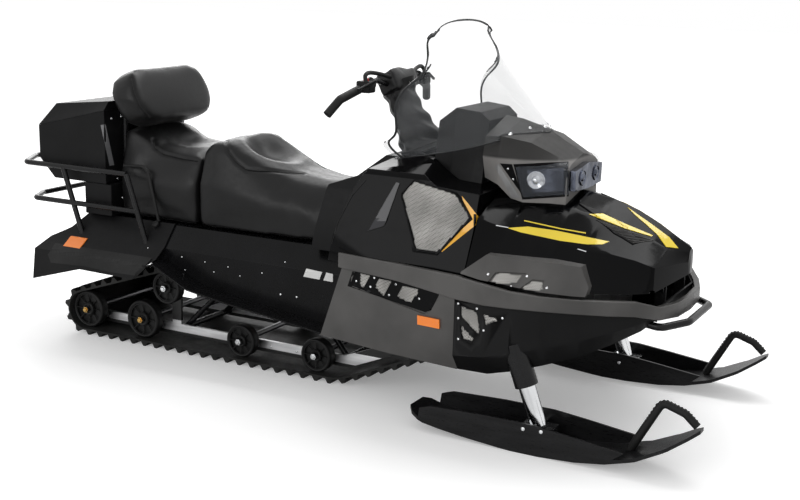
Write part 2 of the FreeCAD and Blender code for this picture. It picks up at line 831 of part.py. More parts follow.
# Console between seat and hood: side outline and cross section, shares of reach,
# half breadth and height, then the plan line that it keeps inside
CONSOLE_SIDE_SHARES = (
    (0.093, 0.560), (0.135, 0.805), (0.168, 0.900), (0.190, 0.950), (0.215, 0.960), (0.300, 0.945),
    (0.380, 0.880), (0.497, 0.868), (0.497, 0.560))
CONSOLE_SECTION_SHARES = (
    (0.872, 0.560), (0.872, 0.602), (0.750, 0.740), (0.655, 0.895), (0.620, 0.915), (0.340, 0.935),
    (0.180, 0.975))
CONSOLE_PLAN_SHARES = ((0.090, 0.790), (0.133, 0.820), (0.320, 0.893), (0.497, 0.955))


def make_console():
    reach = size.front_reach
    height = size.body_height
    half = size.half_breadth
    low = size.tunnel_top + size.seam
    side = [(reach * x, low if z == CONSOLE_SIDE_SHARES[0][1] else height * z)
            for x, z in CONSOLE_SIDE_SHARES]
    right = [(half * -y, low if z == CONSOLE_SECTION_SHARES[0][1] else height * z)
             for y, z in CONSOLE_SECTION_SHARES]
    left = [(-y, z) for y, z in reversed(right)]
    plan = [(reach * x, half * -y) for x, y in CONSOLE_PLAN_SHARES]
    other = [(x, -y) for x, y in reversed(plan)]
    profile = centred_prism("console_profile", side, half)
    section = prism_body("console_section", "YZ_Plane", right + left, reach)
    lines = prism_body("console_plan", "XY_Plane", plan + other, height)
    block = document.addObject("Part::MultiCommon", "console_block")
    block.Shapes = [profile, section, lines]
    depth = size.column_socket
    hole = leaning_rod("console_bore", size.column_radius + size.strut_fit, size.column_foot_x,
                       ZERO, size.column_foot_height, depth * 2, size.column_rake, -depth)
    document.recompute()
    console = block.Shape.cut(hole.Shape).cut(belly_block())
    console = console.cut(document.getObject("bumper_band").Shape)
    console = max(console.Solids, key=lambda solid: solid.Volume)
    keep(shape_feature("console", console), "console")


# Tank cover between the driver's seat and the console: side outline ahead of the seat
TANK_SIDE_SHARES = ((0.100, 0.862), (0.163, 0.945), (0.200, 0.945), (0.200, 0.560))
TANK_SECTION_SHARES = ((0.560, 0.560), (0.560, 0.640), (0.500, 0.800), (0.400, 0.880), (0.300, 0.950))


def seat_front_x(height):
    """The seat's leaning front face at a height."""
    front = size.driver_seat_rear_x + size.driver_seat_length
    rise = float(size.seat_top - seat_low())
    drop = float(size.seat_top) - float(height)
    return front - size.driver_seat_lean * (drop / rise)


def make_tank_cover():
    reach = size.front_reach
    height = size.body_height
    half = size.half_breadth
    low = size.tunnel_top + size.seam
    top = height * 0.820
    side = [(seat_front_x(low) + size.seam, low), (seat_front_x(top) + size.seam, top)]
    side += [(reach * x, low if z == TANK_SIDE_SHARES[-1][1] else height * z)
             for x, z in TANK_SIDE_SHARES]
    right = [(half * -y, low if index == 0 else height * z)
             for index, (y, z) in enumerate(TANK_SECTION_SHARES)]
    left = [(-y, z) for y, z in reversed(right)]
    profile = centred_prism("tank_profile", side, half)
    section = prism_body("tank_section", "YZ_Plane", right + left, reach, -reach / 2)
    block = document.addObject("Part::MultiCommon", "tank_block")
    block.Shapes = [profile, section]
    document.recompute()
    cover = block.Shape.cut(document.getObject("console").Shape)
    bore = document.getObject("console_bore").Shape
    cover = max(cover.cut(bore).Solids, key=lambda solid: solid.Volume)
    keep(shape_feature("tank_cover", cover), "tank_cover")


def make_tunnel():
    half = size.tunnel_half_width
    top_half = size.tunnel_top_half_width
    wall = size.tunnel_wall
    low = size.board_front_height - size.tunnel_skirt
    outer = [(-half, low), (-half, size.tunnel_shoulder), (-top_half, size.tunnel_top)]
    inner = [(-half + wall, low), (-half + wall, size.tunnel_shoulder - wall),
             (-top_half + wall, size.tunnel_top - wall)]
    right = [(-y, z) for y, z in reversed(outer)]
    right_inner = [(-y, z) for y, z in inner]
    outline = outer + right + right_inner + list(reversed(inner))
    body = prism_body("tunnel", "YZ_Plane", outline, size.tunnel_front_x - size.tunnel_rear_x,
                      size.tunnel_rear_x)
    skirt = size.tunnel_skirt
    below = low - size.overrun
    behind = size.tunnel_rear_x - size.overrun
    cut = [(behind, below), (size.board_front_x, below),
           (size.board_front_x, size.board_front_height - skirt),
           (size.board_bend_x, size.board_bend_height - skirt),
           (size.board_kick_x, size.board_kick_height - skirt),
           (size.board_rear_x, size.board_rear_height - skirt),
           (behind, size.board_rear_height - skirt)]
    pocket(body, "XZ_Plane", cut, (half + size.overrun) * 2)
    keep(body, "tunnel")


def make_running_boards():
    thickness = size.board_thickness
    line = [(size.board_front_x, size.board_front_height), (size.board_bend_x, size.board_bend_height),
            (size.board_kick_x, size.board_kick_height), (size.board_rear_x, size.board_rear_height)]
    under = [(x, z - thickness) for x, z in reversed(line)]
    boards = [side_prism("board_" + name, line + under, size.tunnel_half_width, size.board_outer,
                         side) for name, side in SIDES]
    gather("running_boards", boards)


# Track: the belt runs outside these rollers, from the rear idler round by the front

def belt_bottom():
    return size.belt_thickness + size.lug_height


def belt_rollers():
    low = belt_bottom()
    return [(size.idler_x, low + size.idler_radius, size.idler_radius + size.seam),
            (size.rail_nose_x, low + size.rail_nose_radius, size.rail_nose_radius + size.seam),
            (size.sprocket_x, size.sprocket_height, size.sprocket_radius + size.seam),
            (size.carrier_x, size.carrier_height, size.carrier_radius + size.seam)]


def belt_runs(outset):
    """Arcs and straight runs of the loop, as (centre, radius, start angle, end angle)."""
    rollers = [(float(x), float(z), float(radius) + outset) for x, z, radius in belt_rollers()]
    normals = []
    for (x1, z1, r1), (x2, z2, r2) in zip(rollers, rollers[1:] + rollers[:1]):
        span = math.hypot(x2 - x1, z2 - z1)
        normals.append(math.atan2(z2 - z1, x2 - x1) - math.acos((r1 - r2) / span))
    runs = []
    for index, (x, z, radius) in enumerate(rollers):
        start = normals[index - 1]
        end = normals[index]
        while end < start:
            end += 2 * math.pi
        runs.append((x, z, radius, start, end))
    return runs


def polar(x, z, radius, angle):
    return Vector(x + radius * math.cos(angle), 0, z + radius * math.sin(angle))


def belt_wire(outset):
    edges = []
    runs = belt_runs(outset)
    for (x, z, radius, start, end), following in zip(runs, runs[1:] + runs[:1]):
        enter = polar(x, z, radius, start)
        middle = polar(x, z, radius, (start + end) / 2)
        leave = polar(x, z, radius, end)
        edges.append(Part.Arc(enter, middle, leave).toShape())
        edges.append(Part.makeLine(leave, polar(*following[:3], following[3])))
    return Part.Wire(edges)


def belt_place(runs, distance):
    """The point and outward direction at a distance along the loop."""
    for (x, z, radius, start, end), following in zip(runs, runs[1:] + runs[:1]):
        arc = radius * (end - start)
        if distance <= arc:
            angle = start + distance / radius
            return polar(x, z, radius, angle), Vector(math.cos(angle), 0, math.sin(angle))
        distance -= arc
        leave = polar(x, z, radius, end)
        enter = polar(*following[:3], following[3])
        straight = (enter - leave).Length
        if distance <= straight:
            outward = Vector(math.cos(end), 0, math.sin(end))
            return leave + (enter - leave) * (distance / straight), outward
        distance -= straight
    return polar(*runs[0][:3], runs[0][3]), Vector(math.cos(runs[0][3]), 0, math.sin(runs[0][3]))


def make_track():
    belt = float(size.belt_thickness)
    inner = belt_wire(0.0)
    outer_runs = belt_runs(belt)
    length = belt_wire(belt).Length
    count = round(length / float(size.lug_pitch))
    pitch = length / count
    base = float(size.lug_base) / 2
    tip = float(size.lug_tip) / 2
    height = float(size.lug_height)
    points = []
    for lug in range(count):
        middle = (lug + 0.5) * pitch
        for along, out in ((-base, 0.0), (-tip, height), (tip, height), (base, 0.0), (pitch / 2, 0.0)):
            place, outward = belt_place(outer_runs, (middle + along) % length)
            points.append(place + outward * out)
    half = Vector(0, float(size.track_width) / 2, 0)
    outside = Part.Face(polygon(points))
    inside = Part.Face(inner)
    outside.translate(-half)
    inside.translate(-half * 2)
    track = outside.extrude(half * 2).cut(inside.extrude(half * 4))
    keep(shape_feature("track", track), "track")


# A wheel's dish between rim and hub, as shares of its radius and width
WHEEL_RIM_SHARE = 0.80
WHEEL_HUB_SHARE = 0.38
WHEEL_DISH_SHARE = 0.30


def wheel(name, x, z, radius, side):
    """A road wheel with a dished outer face and its bore on the axle."""
    width = size.wheel_width
    offset = size.wheel_offset * side
    disc = cross_rod(name + "_disc", radius, x, z, offset - width / 2, width)
    bore = cross_rod(name + "_bore", size.axle_radius + size.seam, x, z,
                     offset - width, width * 2)
    face = offset + width * side / 2
    start = face - width * WHEEL_DISH_SHARE if side == LEFT else face - width * (1 - WHEEL_DISH_SHARE)
    dish = document.addObject("Part::Cut", name + "_dish")
    dish.Base = cross_rod(name + "_dish_form", radius * WHEEL_RIM_SHARE, x, z, start, width)
    dish.Tool = cross_rod(name + "_hub", radius * WHEEL_HUB_SHARE, x, z, start - width, width * 3)
    hollows = document.addObject("Part::MultiFuse", name + "_hollows")
    hollows.Shapes = [bore, dish]
    cut = document.addObject("Part::Cut", name)
    cut.Base = disc
    cut.Tool = hollows
    return cut


def gather(label, pieces):
    group = document.addObject("Part::Compound", label)
    group.Links = pieces
    keep(group, label)


def wheel_places():
    road = belt_bottom() + size.road_wheel_radius
    idler = belt_bottom() + size.idler_radius
    return (("idler", size.idler_x, idler, size.idler_radius),
            ("second", size.second_wheel_x, idler, size.idler_radius),
            ("third", size.third_wheel_x, road, size.road_wheel_radius),
            ("fourth", size.fourth_wheel_x, road, size.road_wheel_radius),
            ("carrier", size.carrier_x, size.carrier_height, size.carrier_radius))


def make_wheels():
    wheels = []
    axles = []
    reach = size.wheel_offset + size.wheel_width
    for label, x, z, radius in wheel_places():
        for name, side in SIDES:
            wheels.append(wheel("%s_wheel_%s" % (label, name), x, z, radius, side))
        axles.append(cross_rod(label + "_axle", size.axle_radius, x, z, -reach, reach * 2))
    gather("road_wheels", wheels)
    return axles


def make_axles(wheel_axles):
    """The driven axle with its sprockets, and the road wheels' axles."""
    start = -(size.tunnel_half_width - size.tunnel_wall)
    shaft = cross_rod("drive_shaft", size.axle_radius, size.sprocket_x, size.sprocket_height, start,
                      -start * 2)
    discs = [shaft]
    for name, side in SIDES:
        middle = size.arm_offset * side
        discs.append(cross_rod("sprocket_" + name, size.sprocket_radius, size.sprocket_x,
                               size.sprocket_height, middle - size.wheel_width / 2, size.wheel_width))
    axle = document.addObject("Part::MultiFuse", "drive_axle")
    axle.Shapes = discs
    gather("axles", [axle] + wheel_axles)


def rail_outline():
    """One slide rail with its upturned nose, in the XZ plane."""
    low = float(belt_bottom() + size.slider_height)
    height = float(size.rail_height)
    x = float(size.rail_nose_x)
    z = float(belt_bottom() + size.rail_nose_radius)
    radius = float(size.rail_nose_radius - size.slider_height)
    nose = belt_runs(0.0)[1]
    start = -math.pi / 2
    end = nose[4]
    run = Vector(-math.sin(end), 0, math.cos(end))
    leave = polar(x, z, radius, end)
    reach = (float(size.rail_tip_x) - leave.x) / run.x
    tip = leave + run * reach
    inner = radius - height
    edges = [Part.makeLine(Vector(float(size.rail_rear_x), 0, low), Vector(x, 0, low)),
             Part.Arc(Vector(x, 0, low), polar(x, z, radius, (start + end) / 2), leave).toShape(),
             Part.makeLine(leave, tip),
             Part.makeLine(tip, tip - (leave - polar(x, z, inner, end))),
             Part.makeLine(tip - (leave - polar(x, z, inner, end)), polar(x, z, inner, end)),
             Part.Arc(polar(x, z, inner, end), polar(x, z, inner, (start + end) / 2),
                      Vector(x, 0, low + height)).toShape(),
             Part.makeLine(Vector(x, 0, low + height),
                           Vector(float(size.rail_rear_x), 0, low + height)),
             Part.makeLine(Vector(float(size.rail_rear_x), 0, low + height),
                           Vector(float(size.rail_rear_x), 0, low))]
    return Part.Wire(edges)


def make_rails():
    """Both rails, with the brackets that hold the wheels' axles."""
    face = Part.Face(rail_outline())
    thickness = float(size.rail_width)
    width = Vector(0, thickness, 0)
    start = -float(size.rail_offset) - thickness / 2
    face.translate(Vector(0, start, 0))
    pieces = []
    bores = []
    radius = float(size.axle_radius)
    low = float(belt_bottom() + size.slider_height)
    for label, x, z, wheel_radius in wheel_places():
        centre = vector(x, ZERO, z) + Vector(0, start, 0)
        pieces.append(Part.makeCylinder(radius * 2, thickness, centre, Vector(0, 1, 0)))
        bores.append(Part.makeCylinder(radius + float(size.seam), thickness * 3, centre - width,
                                       Vector(0, 1, 0)))
        if label == "carrier":
            pieces.append(Part.makeBox(radius * 4, thickness, centre.z - low,
                                       Vector(centre.x - radius * 2, start, low)))
    rail = face.extrude(width).multiFuse(pieces)
    for bore in bores:
        rail = rail.cut(bore)
    keep(shape_feature("slide_rails", both_sides(rail)), "slide_rails")


def make_engine():
    start = vector(size.engine_rear_x, -size.engine_width / 2, size.engine_bottom)
    block = Part.makeBox(float(size.engine_length), float(size.engine_width),
                         float(size.engine_top - size.engine_bottom), start)
    room = belly_hollow(float(size.panel_wall + size.seam))
    upper = Part.makeBox(float(size.engine_length), float(size.engine_width),
                         float(size.engine_top - size.tunnel_shoulder),
                         Vector(start.x, start.y, float(size.tunnel_shoulder)))
    engine = block.common(room).fuse(upper).removeSplitter()
    keep(shape_feature("engine_block", engine), "engine_block")


# Ski: corners from the heel, shares of ski length and ski height
SKI_SOLE_SHARES = (
    (0.0, 0.342), (0.048, 0.215), (0.13, 0.140), (0.218, 0.080), (0.353, 0.016), (0.400, 0.0),
    (0.492, 0.0), (0.621, 0.042), (0.721, 0.126), (0.820, 0.290), (0.913, 0.560), (1.0, 0.890))
SKI_RIM_SHARES = (
    (0.055, 0.480), (0.100, 0.560), (0.300, 0.600), (0.480, 0.590), (0.600, 0.520), (0.780, 0.400))
SKI_PLAN_SHARES = (
    (0.0, 0.25), (0.02, 0.40), (0.07, 0.5), (0.80, 0.5), (0.90, 0.42), (0.97, 0.25), (1.0, 0.10))
SKI_LOOP_SHARES = ((0.775, 0.30), (0.870, 1.32), (0.945, 1.18), (0.985, 0.98))


def ski_outline(shares):
    return [(size.ski_heel_x + size.ski_length * x, size.ski_height * z) for x, z in shares]


def make_ski(name, side):
    middle = size.ski_stance / 2
    half = size.ski_width / 2
    sole = ski_outline(SKI_SOLE_SHARES)
    deck = [(x, z + size.ski_plate) for x, z in reversed(sole)]
    plate = side_prism("ski_plate_" + name, sole + deck, middle - half, middle + half, side)
    rim = ski_outline(SKI_RIM_SHARES)
    foot = sole[1:9]
    wall_outline = foot + list(reversed(rim))
    walls = [side_prism("ski_wall_in_" + name, wall_outline, middle - half,
                        middle - half + size.ski_rim, side),
             side_prism("ski_wall_out_" + name, wall_outline, middle + half - size.ski_rim,
                        middle + half, side)]
    joined = document.addObject("Part::MultiFuse", "ski_form_" + name)
    joined.Shapes = [plate] + walls
    plan = [(size.ski_heel_x + size.ski_length * x, middle * side + size.ski_width * y)
            for x, y in SKI_PLAN_SHARES]
    back = [(x, middle * side * 2 - y) for x, y in reversed(plan)]
    cutter = prism_body("ski_plan_" + name, "XY_Plane", plan + back, size.ski_height * 2)
    ski = document.addObject("Part::Common", "ski_" + name)
    ski.Base = joined
    ski.Tool = cutter
    keep(ski, "ski_" + name)


def make_ski_loop(name, side):
    y = side * float(size.ski_stance) / 2
    points = [Vector(float(size.ski_heel_x + size.ski_length * x), y, float(size.ski_height * z))
              for x, z in SKI_LOOP_SHARES]
    loop = tube(points, size.ski_loop_radius, size.ski_loop_radius * 2)
    loop = loop.cut(document.getObject("ski_plate_" + name).Shape)
    loop = max(loop.Solids, key=lambda solid: solid.Volume)
    keep(shape_feature("ski_loop_" + name, loop), "ski_loop_" + name)


def make_strut(name, side):
    """The sliding tube and its saddle; the sleeve that holds it is returned."""
    foot, axis = strut_axis(side)
    start = foot + axis * float(size.sleeve_start)
    sleeve = Part.makeCylinder(float(size.sleeve_radius), float(size.sleeve_length), start, axis)
    bore = Part.makeCylinder(float(size.strut_radius + size.strut_fit),
                             float(size.sleeve_length) - float(size.panel_wall), start, axis)
    strut = Part.makeCylinder(float(size.strut_radius), float(size.strut_length), foot, axis)
    length = float(size.saddle_length)
    width = float(size.saddle_width)
    ski = document.getObject("ski_form_" + name).Shape
    saddle = Part.makeBox(length, width, foot.z,
                          Vector(foot.x - length / 2, foot.y - width / 2, 0)).cut(ski)
    saddle = max(saddle.Solids, key=lambda solid: solid.Volume)
    half_bolt = float(size.ski_width) / 2 - float(size.ski_rim) - float(size.seam)
    bolt = Part.makeCylinder(float(size.saddle_bolt_radius), half_bolt * 2,
                             foot - Vector(0, half_bolt, 0), Vector(0, 1, 0))
    fused = strut.cut(ski).fuse(saddle).fuse(bolt.cut(ski))
    keep(shape_feature("strut_" + name, fused), "strut_" + name)
    return sleeve.cut(bore)


# Seats: station shares of the seat's length, breadth of foot, flank and shoulder, then the
# heights of flank, shoulder and crown as shares of the seat's height
DRIVER_SEAT_SHARES = (
    (0.0, 0.96, 1.00, 0.80, 0.45, 0.84, 0.90), (0.06, 0.97, 1.00, 0.80, 0.45, 0.94, 0.985),
    (0.20, 0.98, 1.00, 0.78, 0.45, 0.94, 0.990), (0.30, 0.98, 1.00, 0.76, 0.42, 0.85, 0.90),
    (0.42, 0.98, 0.98, 0.74, 0.38, 0.74, 0.80), (0.58, 0.96, 0.94, 0.66, 0.35, 0.62, 0.70),
    (0.76, 0.92, 0.88, 0.58, 0.32, 0.55, 0.655), (0.90, 0.88, 0.82, 0.52, 0.32, 0.54, 0.655),
    (1.0, 0.84, 0.78, 0.48, 0.32, 0.55, 0.655))
PASSENGER_SEAT_SHARES = (
    (0.0, 0.96, 0.98, 0.80, 0.50, 0.96, 1.03), (0.12, 0.96, 0.98, 0.80, 0.50, 0.96, 1.03),
    (0.26, 0.96, 0.98, 0.78, 0.48, 0.90, 0.95), (0.45, 0.96, 1.00, 0.78, 0.45, 0.80, 0.85),
    (0.75, 0.96, 1.00, 0.78, 0.45, 0.76, 0.81), (1.0, 0.96, 1.00, 0.78, 0.45, 0.74, 0.80))


# How much of the front face's lean the station behind it takes
SEAT_LEAN_SHARE = 0.8


def seat_low():
    return size.tunnel_top + size.seam


def seat_block(rows, rear, length, lean):
    low = float(seat_low())
    rise = float(size.seat_top) - low
    half = float(size.seat_half_width)
    sections = []
    for along, foot, flank, shoulder, flank_up, shoulder_up, crown_up in rows:
        x = float(rear) + float(length) * along
        right = [Vector(x, -half * foot, low), Vector(x, -half * flank, low + rise * flank_up),
                 Vector(x, -half * shoulder, low + rise * shoulder_up),
                 Vector(x, -half * shoulder * 0.5, low + rise * (shoulder_up + crown_up * 2) / 3),
                 Vector(x, 0, low + rise * crown_up)]
        sections.append(right + [Vector(p.x, -p.y, p.z) for p in reversed(right[:-1])])
    for index, part in ((-1, 1.0), (-2, SEAT_LEAN_SHARE)):
        sections[index] = [point - Vector(float(lean) * part * (1 - (point.z - low) / rise), 0, 0)
                           for point in sections[index]]
    return ruled(sections)


def make_seats():
    driver = seat_block(DRIVER_SEAT_SHARES, size.driver_seat_rear_x, size.driver_seat_length,
                        size.driver_seat_lean)
    passenger = seat_block(PASSENGER_SEAT_SHARES, size.passenger_seat_rear_x,
                           size.passenger_seat_length, ZERO)
    keep(shape_feature("driver_seat", driver), "driver_seat")
    keep(shape_feature("passenger_seat", passenger), "passenger_seat")


# Backrest pad in its own plane: shares of half width and height, from the middle of the foot
BACKREST_SHARES = (
    (0.0, 0.0), (0.62, 0.0), (0.90, 0.10), (1.0, 0.35), (1.0, 0.62), (0.90, 0.88), (0.66, 1.0),
    (0.0, 1.0))


def backrest_turn():
    foot = Vector(float(size.backrest_foot_x), 0, float(size.backrest_foot_height))
    return Placement(foot, tilt(size.backrest_lean))


def make_backrest():
    """The pad; the two bars behind it are returned for the rack."""
    half = size.backrest_half_width
    right = [(half * -y, size.backrest_height * z) for y, z in BACKREST_SHARES]
    left = [(-y, z) for y, z in reversed(right[1:-1])]
    pad = prism_body("backrest_pad", "YZ_Plane", right + left, size.backrest_thickness,
                     -size.backrest_thickness)
    pad.Placement = backrest_turn()
    bind(pad, ".Placement.Base.x", size.backrest_foot_x)
    bind(pad, ".Placement.Base.z", size.backrest_foot_height)
    keep(pad, "backrest_pad")
    y = float(size.backrest_half_width) * BACKREST_SHARES[1][0]
    radius = float(size.backrest_bar_radius)
    x = float(size.trunk_front_x + size.moving_gap) + radius
    arm = float(size.backrest_foot_height) + float(size.backrest_height) * BACKREST_SHARES[3][1]
    reach = float(size.backrest_foot_x) - float(size.backrest_thickness)
    document.recompute()
    bar = tube([Vector(reach, -y, arm), Vector(x, -y, arm), Vector(x, -y, float(size.trunk_bottom))],
               radius, radius * 6 / 5)
    bar = max(bar.cut(pad.Shape).Solids, key=lambda solid: solid.BoundBox.ZLength)
    return [bar, mirrored(bar)]


def make_trunk():
    half = size.trunk_half_width
    wall = size.trunk_wall
    heel = size.trunk_heel
    outline = [(size.trunk_rear_x + heel, size.trunk_bottom), (size.trunk_front_x, size.trunk_bottom),
               (size.trunk_front_x, size.trunk_seam_front), (size.trunk_rear_x, size.trunk_seam_rear),
               (size.trunk_rear_x, size.trunk_bottom + heel)]
    box = centred_prism("trunk_box", outline, half)
    over = size.overrun
    hollow = [(size.trunk_rear_x + heel + wall, size.trunk_bottom + wall),
              (size.trunk_front_x - wall, size.trunk_bottom + wall),
              (size.trunk_front_x - wall, size.trunk_seam_front + over),
              (size.trunk_rear_x + wall, size.trunk_seam_rear + over),
              (size.trunk_rear_x + wall, size.trunk_bottom + heel + wall)]
    pocket(box, "XZ_Plane", hollow, (half - wall) * 2)
    keep(box, "trunk_box")
    gap = size.seam * 2
    outer = lid_block(half, size.lid_inset, gap, ZERO)
    inner = lid_block(half - wall, size.lid_inset, gap - over, wall)
    keep(shape_feature("trunk_lid", outer.cut(inner)), "trunk_lid")
    carrier = document.addObject("Part::Box", "rear_tank")
    bind(carrier, "Length", size.rear_tank_front_x - size.rear_tank_rear_x)
    bind(carrier, "Width", size.rear_tank_half_width * 2)
    low = size.tunnel_top + size.seam * 2 + size.fender_wall
    bind(carrier, "Height", size.trunk_bottom - size.seam - low)
    placed(carrier, size.rear_tank_rear_x, -size.rear_tank_half_width, low)
    keep(carrier, "rear_tank")


def lid_block(half, inset, lift, wall):
    """The lid's form, a hipped top over the sloping seam."""
    foot = [(size.trunk_rear_x + wall, size.trunk_seam_rear + lift, half),
            (size.trunk_front_x - wall, size.trunk_seam_front + lift, half)]
    crown = [(size.trunk_rear_x + size.overrun * 2 + wall, size.lid_top_rear - wall, half - inset),
             (size.trunk_front_x - wall, size.lid_top_front - wall, half - inset)]
    sections = []
    for (x1, z1, y1), (x2, z2, y2) in (foot, crown):
        sections.append([vector(x1, -y1, z1), vector(x2, -y2, z2), vector(x2, y2, z2),
                         vector(x1, y1, z1)])
    return ruled(sections)


# Rack: side tubes, uprights on the tunnel and the two loops behind the trunk

def make_rack(bars):
    radius = size.rack_tube_radius
    y = size.rack_half_width
    bend = radius * 3
    top = size.rack_loop_height
    low = size.low_loop_height
    lean = math.tan(math.radians(float(size.rack_lean)))
    upper = [vector(size.rack_front_x, -y, top), vector(size.trunk_rear_x - radius * 4, -y, top),
             vector(size.rack_rear_x, -size.rack_loop_half_width, top),
             vector(size.rack_rear_x, size.rack_loop_half_width, top),
             vector(size.trunk_rear_x - radius * 4, y, top), vector(size.rack_front_x, y, top)]
    low_front = size.rack_front_x + (top - low) * lean
    lower = [vector(low_front, -y, low), vector(size.trunk_rear_x, -y, low),
             vector(size.low_loop_x, -size.low_loop_half_width, low),
             vector(size.low_loop_x, size.low_loop_half_width, low),
             vector(size.trunk_rear_x, y, low), vector(low_front, y, low)]
    pieces = [tube(upper, radius, bend), tube(lower, radius, bend)]
    foot = size.tunnel_shoulder
    for side in (RIGHT, LEFT):
        for x in (size.rack_post_x, size.rack_front_x):
            pieces.append(tube([vector(x, y * side, top),
                                vector(x + (top - foot) * lean, y * side, foot)], radius, bend))
    frame = pieces[0].multiFuse(pieces[1:]).cut(fender_outside())
    frame = max(frame.Solids, key=lambda solid: solid.Volume)
    frame = frame.cut(document.getObject("rear_tank").Shape)
    keep(shape_feature("rack_frame", Part.Compound([frame] + bars)), "rack_frame")


# Rear fender and snow flap: corners seen from the side, shares of length and depth
FENDER_SHARES = (
    (0.0, 0.442), (0.149, 0.751), (0.590, 0.738), (1.0, 1.0), (0.972, 0.528), (0.917, 0.362),
    (0.797, 0.223), (0.707, 0.0), (0.0, 0.0))


def fender_side(name, inset):
    length = size.fender_front_x - size.fender_rear_x
    depth = size.fender_crown - size.fender_low
    points = [(size.fender_front_x - length * x, size.fender_crown - depth * z)
              for x, z in FENDER_SHARES]
    if float(inset):
        over = size.overrun
        rear = [(x + inset, z - inset) for x, z in points[4:8]]
        points = [(size.fender_front_x + over, size.fender_low - over),
                  (size.fender_rear_x + inset, size.fender_low - over)] + rear
        points.append((size.fender_front_x + over, size.fender_crown - inset))
    return centred_prism(name, points, size.half_breadth)


def fender_section(name, wall):
    low = size.fender_low - size.overrun * 2
    right = [(-size.fender_half_width + size.fender_wall - wall, low),
             (-size.fender_half_width + size.fender_wall - wall, size.fender_edge + wall / 2),
             (-size.tunnel_half_width - size.seam - wall, size.tunnel_shoulder + wall),
             (-size.tunnel_top_half_width - size.seam - wall, size.tunnel_top + size.seam + wall)]
    left = [(-y, z) for y, z in reversed(right)]
    reach = size.front_reach
    return prism_body(name, "YZ_Plane", right + left, reach, -reach)


def fender_outside():
    return document.getObject("fender_outer").Shape


def make_fender():
    pair = []
    for name, inset, wall in (("fender_outer", ZERO, size.fender_wall),
                              ("fender_inner", size.fender_wall, ZERO)):
        block = document.addObject("Part::Common", name)
        block.Base = fender_side(name + "_side", inset)
        block.Tool = fender_section(name + "_section", wall)
        pair.append(block)
    document.recompute()
    half = float(size.tunnel_top_half_width) + float(size.seam) * 2
    slot = Part.makeBox(float(size.front_reach), half * 2, float(size.body_height),
                        Vector(float(size.fender_slot_x), -half, 0))
    plate = float(size.hitch_plate)
    wide = float(size.hitch_width + size.seam * 2)
    gate = Part.makeBox(float(size.overrun) * 6, wide, plate + float(size.seam) * 2,
                        Vector(float(size.hitch_reach_x) - wide, -wide / 2,
                               float(size.hitch_height - size.seam)))
    shell = pair[0].Shape.cut(pair[1].Shape).cut(slot).cut(gate)
    shell = max(shell.Solids, key=lambda solid: solid.Volume)
    keep(shape_feature("rear_fender", shell), "rear_fender")


def side_skin(outline_shares, base, thickness, side=RIGHT):
    """A thin plate on the flank of a piece, cut to an outline seen from the side."""
    corners = [body_point(x_share, 0, z_share) for x_share, z_share in outline_shares]
    reach = Vector(0, -float(size.half_breadth) * 2, 0)
    column = Part.Face(polygon(corners)).extrude(reach)
    lifted = base.translated(Vector(0, -float(thickness), 0))
    skin = lifted.common(column).cut(base)
    skin = max(skin.Solids, key=lambda solid: solid.Volume)
    return skin if side == RIGHT else mirrored(skin)


HEX_GRILLE_SHARES = (
    (0.315, 0.896), (0.436, 0.868), (0.484, 0.787), (0.416, 0.645), (0.349, 0.645), (0.283, 0.838))


def make_hex_grilles():
    console = document.getObject("console").Shape
    skin = side_skin(HEX_GRILLE_SHARES, console, size.panel_wall)
    keep(shape_feature("hex_grilles", both_sides(skin)), "hex_grilles")


# The side reflector's low rear corner as shares of reach and body height
SIDE_REFLECTOR_SHARES = (0.375, 0.376)
# The rear one's place ahead of the fender's tail and above its edge, as shares of its own size
REAR_REFLECTOR_SHARES = (1.72, 0.69)


def reflector_outline(x, z):
    near = x / float(size.front_reach)
    low = z / float(size.body_height)
    far = near + float(size.reflector_length) / float(size.front_reach)
    high = low + float(size.reflector_height) / float(size.body_height)
    return (near, low), (far, low), (far, high), (near, high)


def make_reflectors():
    panel = document.getObject("side_panels").Shape.Solids[0]
    fender = document.getObject("rear_fender").Shape
    place = body_point(SIDE_REFLECTOR_SHARES[0], 0, SIDE_REFLECTOR_SHARES[1])
    front = side_skin(reflector_outline(place.x, place.z), panel, size.reflector_depth)
    ahead, above = REAR_REFLECTOR_SHARES
    rear_x = float(size.fender_rear_x + size.reflector_length * ahead)
    rear_z = float(size.fender_edge + size.reflector_height * above)
    rear = side_skin(reflector_outline(rear_x, rear_z), fender, size.reflector_depth)
    shapes = [front, mirrored(front), rear, mirrored(rear)]
    keep(shape_feature("reflectors", Part.Compound(shapes)), "reflectors")


def make_front_bumper():
    y = float(size.half_breadth)
    height = float(size.body_height)
    reach = float(size.front_reach) - float(size.bumper_radius)
    right = [Vector(reach * x, -y * across, height * z) for x, across, z in BUMPER_SHARES]
    left = [Vector(p.x, -p.y, p.z) for p in reversed(right)]
    bar = tube(right + left, size.bumper_radius, size.bumper_radius * 3)
    bar = bar.cut(belly_block())
    bar = max(bar.Solids, key=lambda solid: solid.Volume)
    keep(shape_feature("front_bumper", bar), "front_bumper")


# Front bumper tube: shares of its reach, half breadth and body height
BUMPER_SHARES = ((0.880, 0.420, 0.448), (0.950, 0.430, 0.436), (1.0, 0.250, 0.446))


def turned(point):
    """A point given across, ahead of and along the steering column, in the machine's frame."""
    foot = Vector(float(size.column_foot_x), 0, float(size.column_foot_height))
    return foot + tilt(size.column_rake).multVec(point)


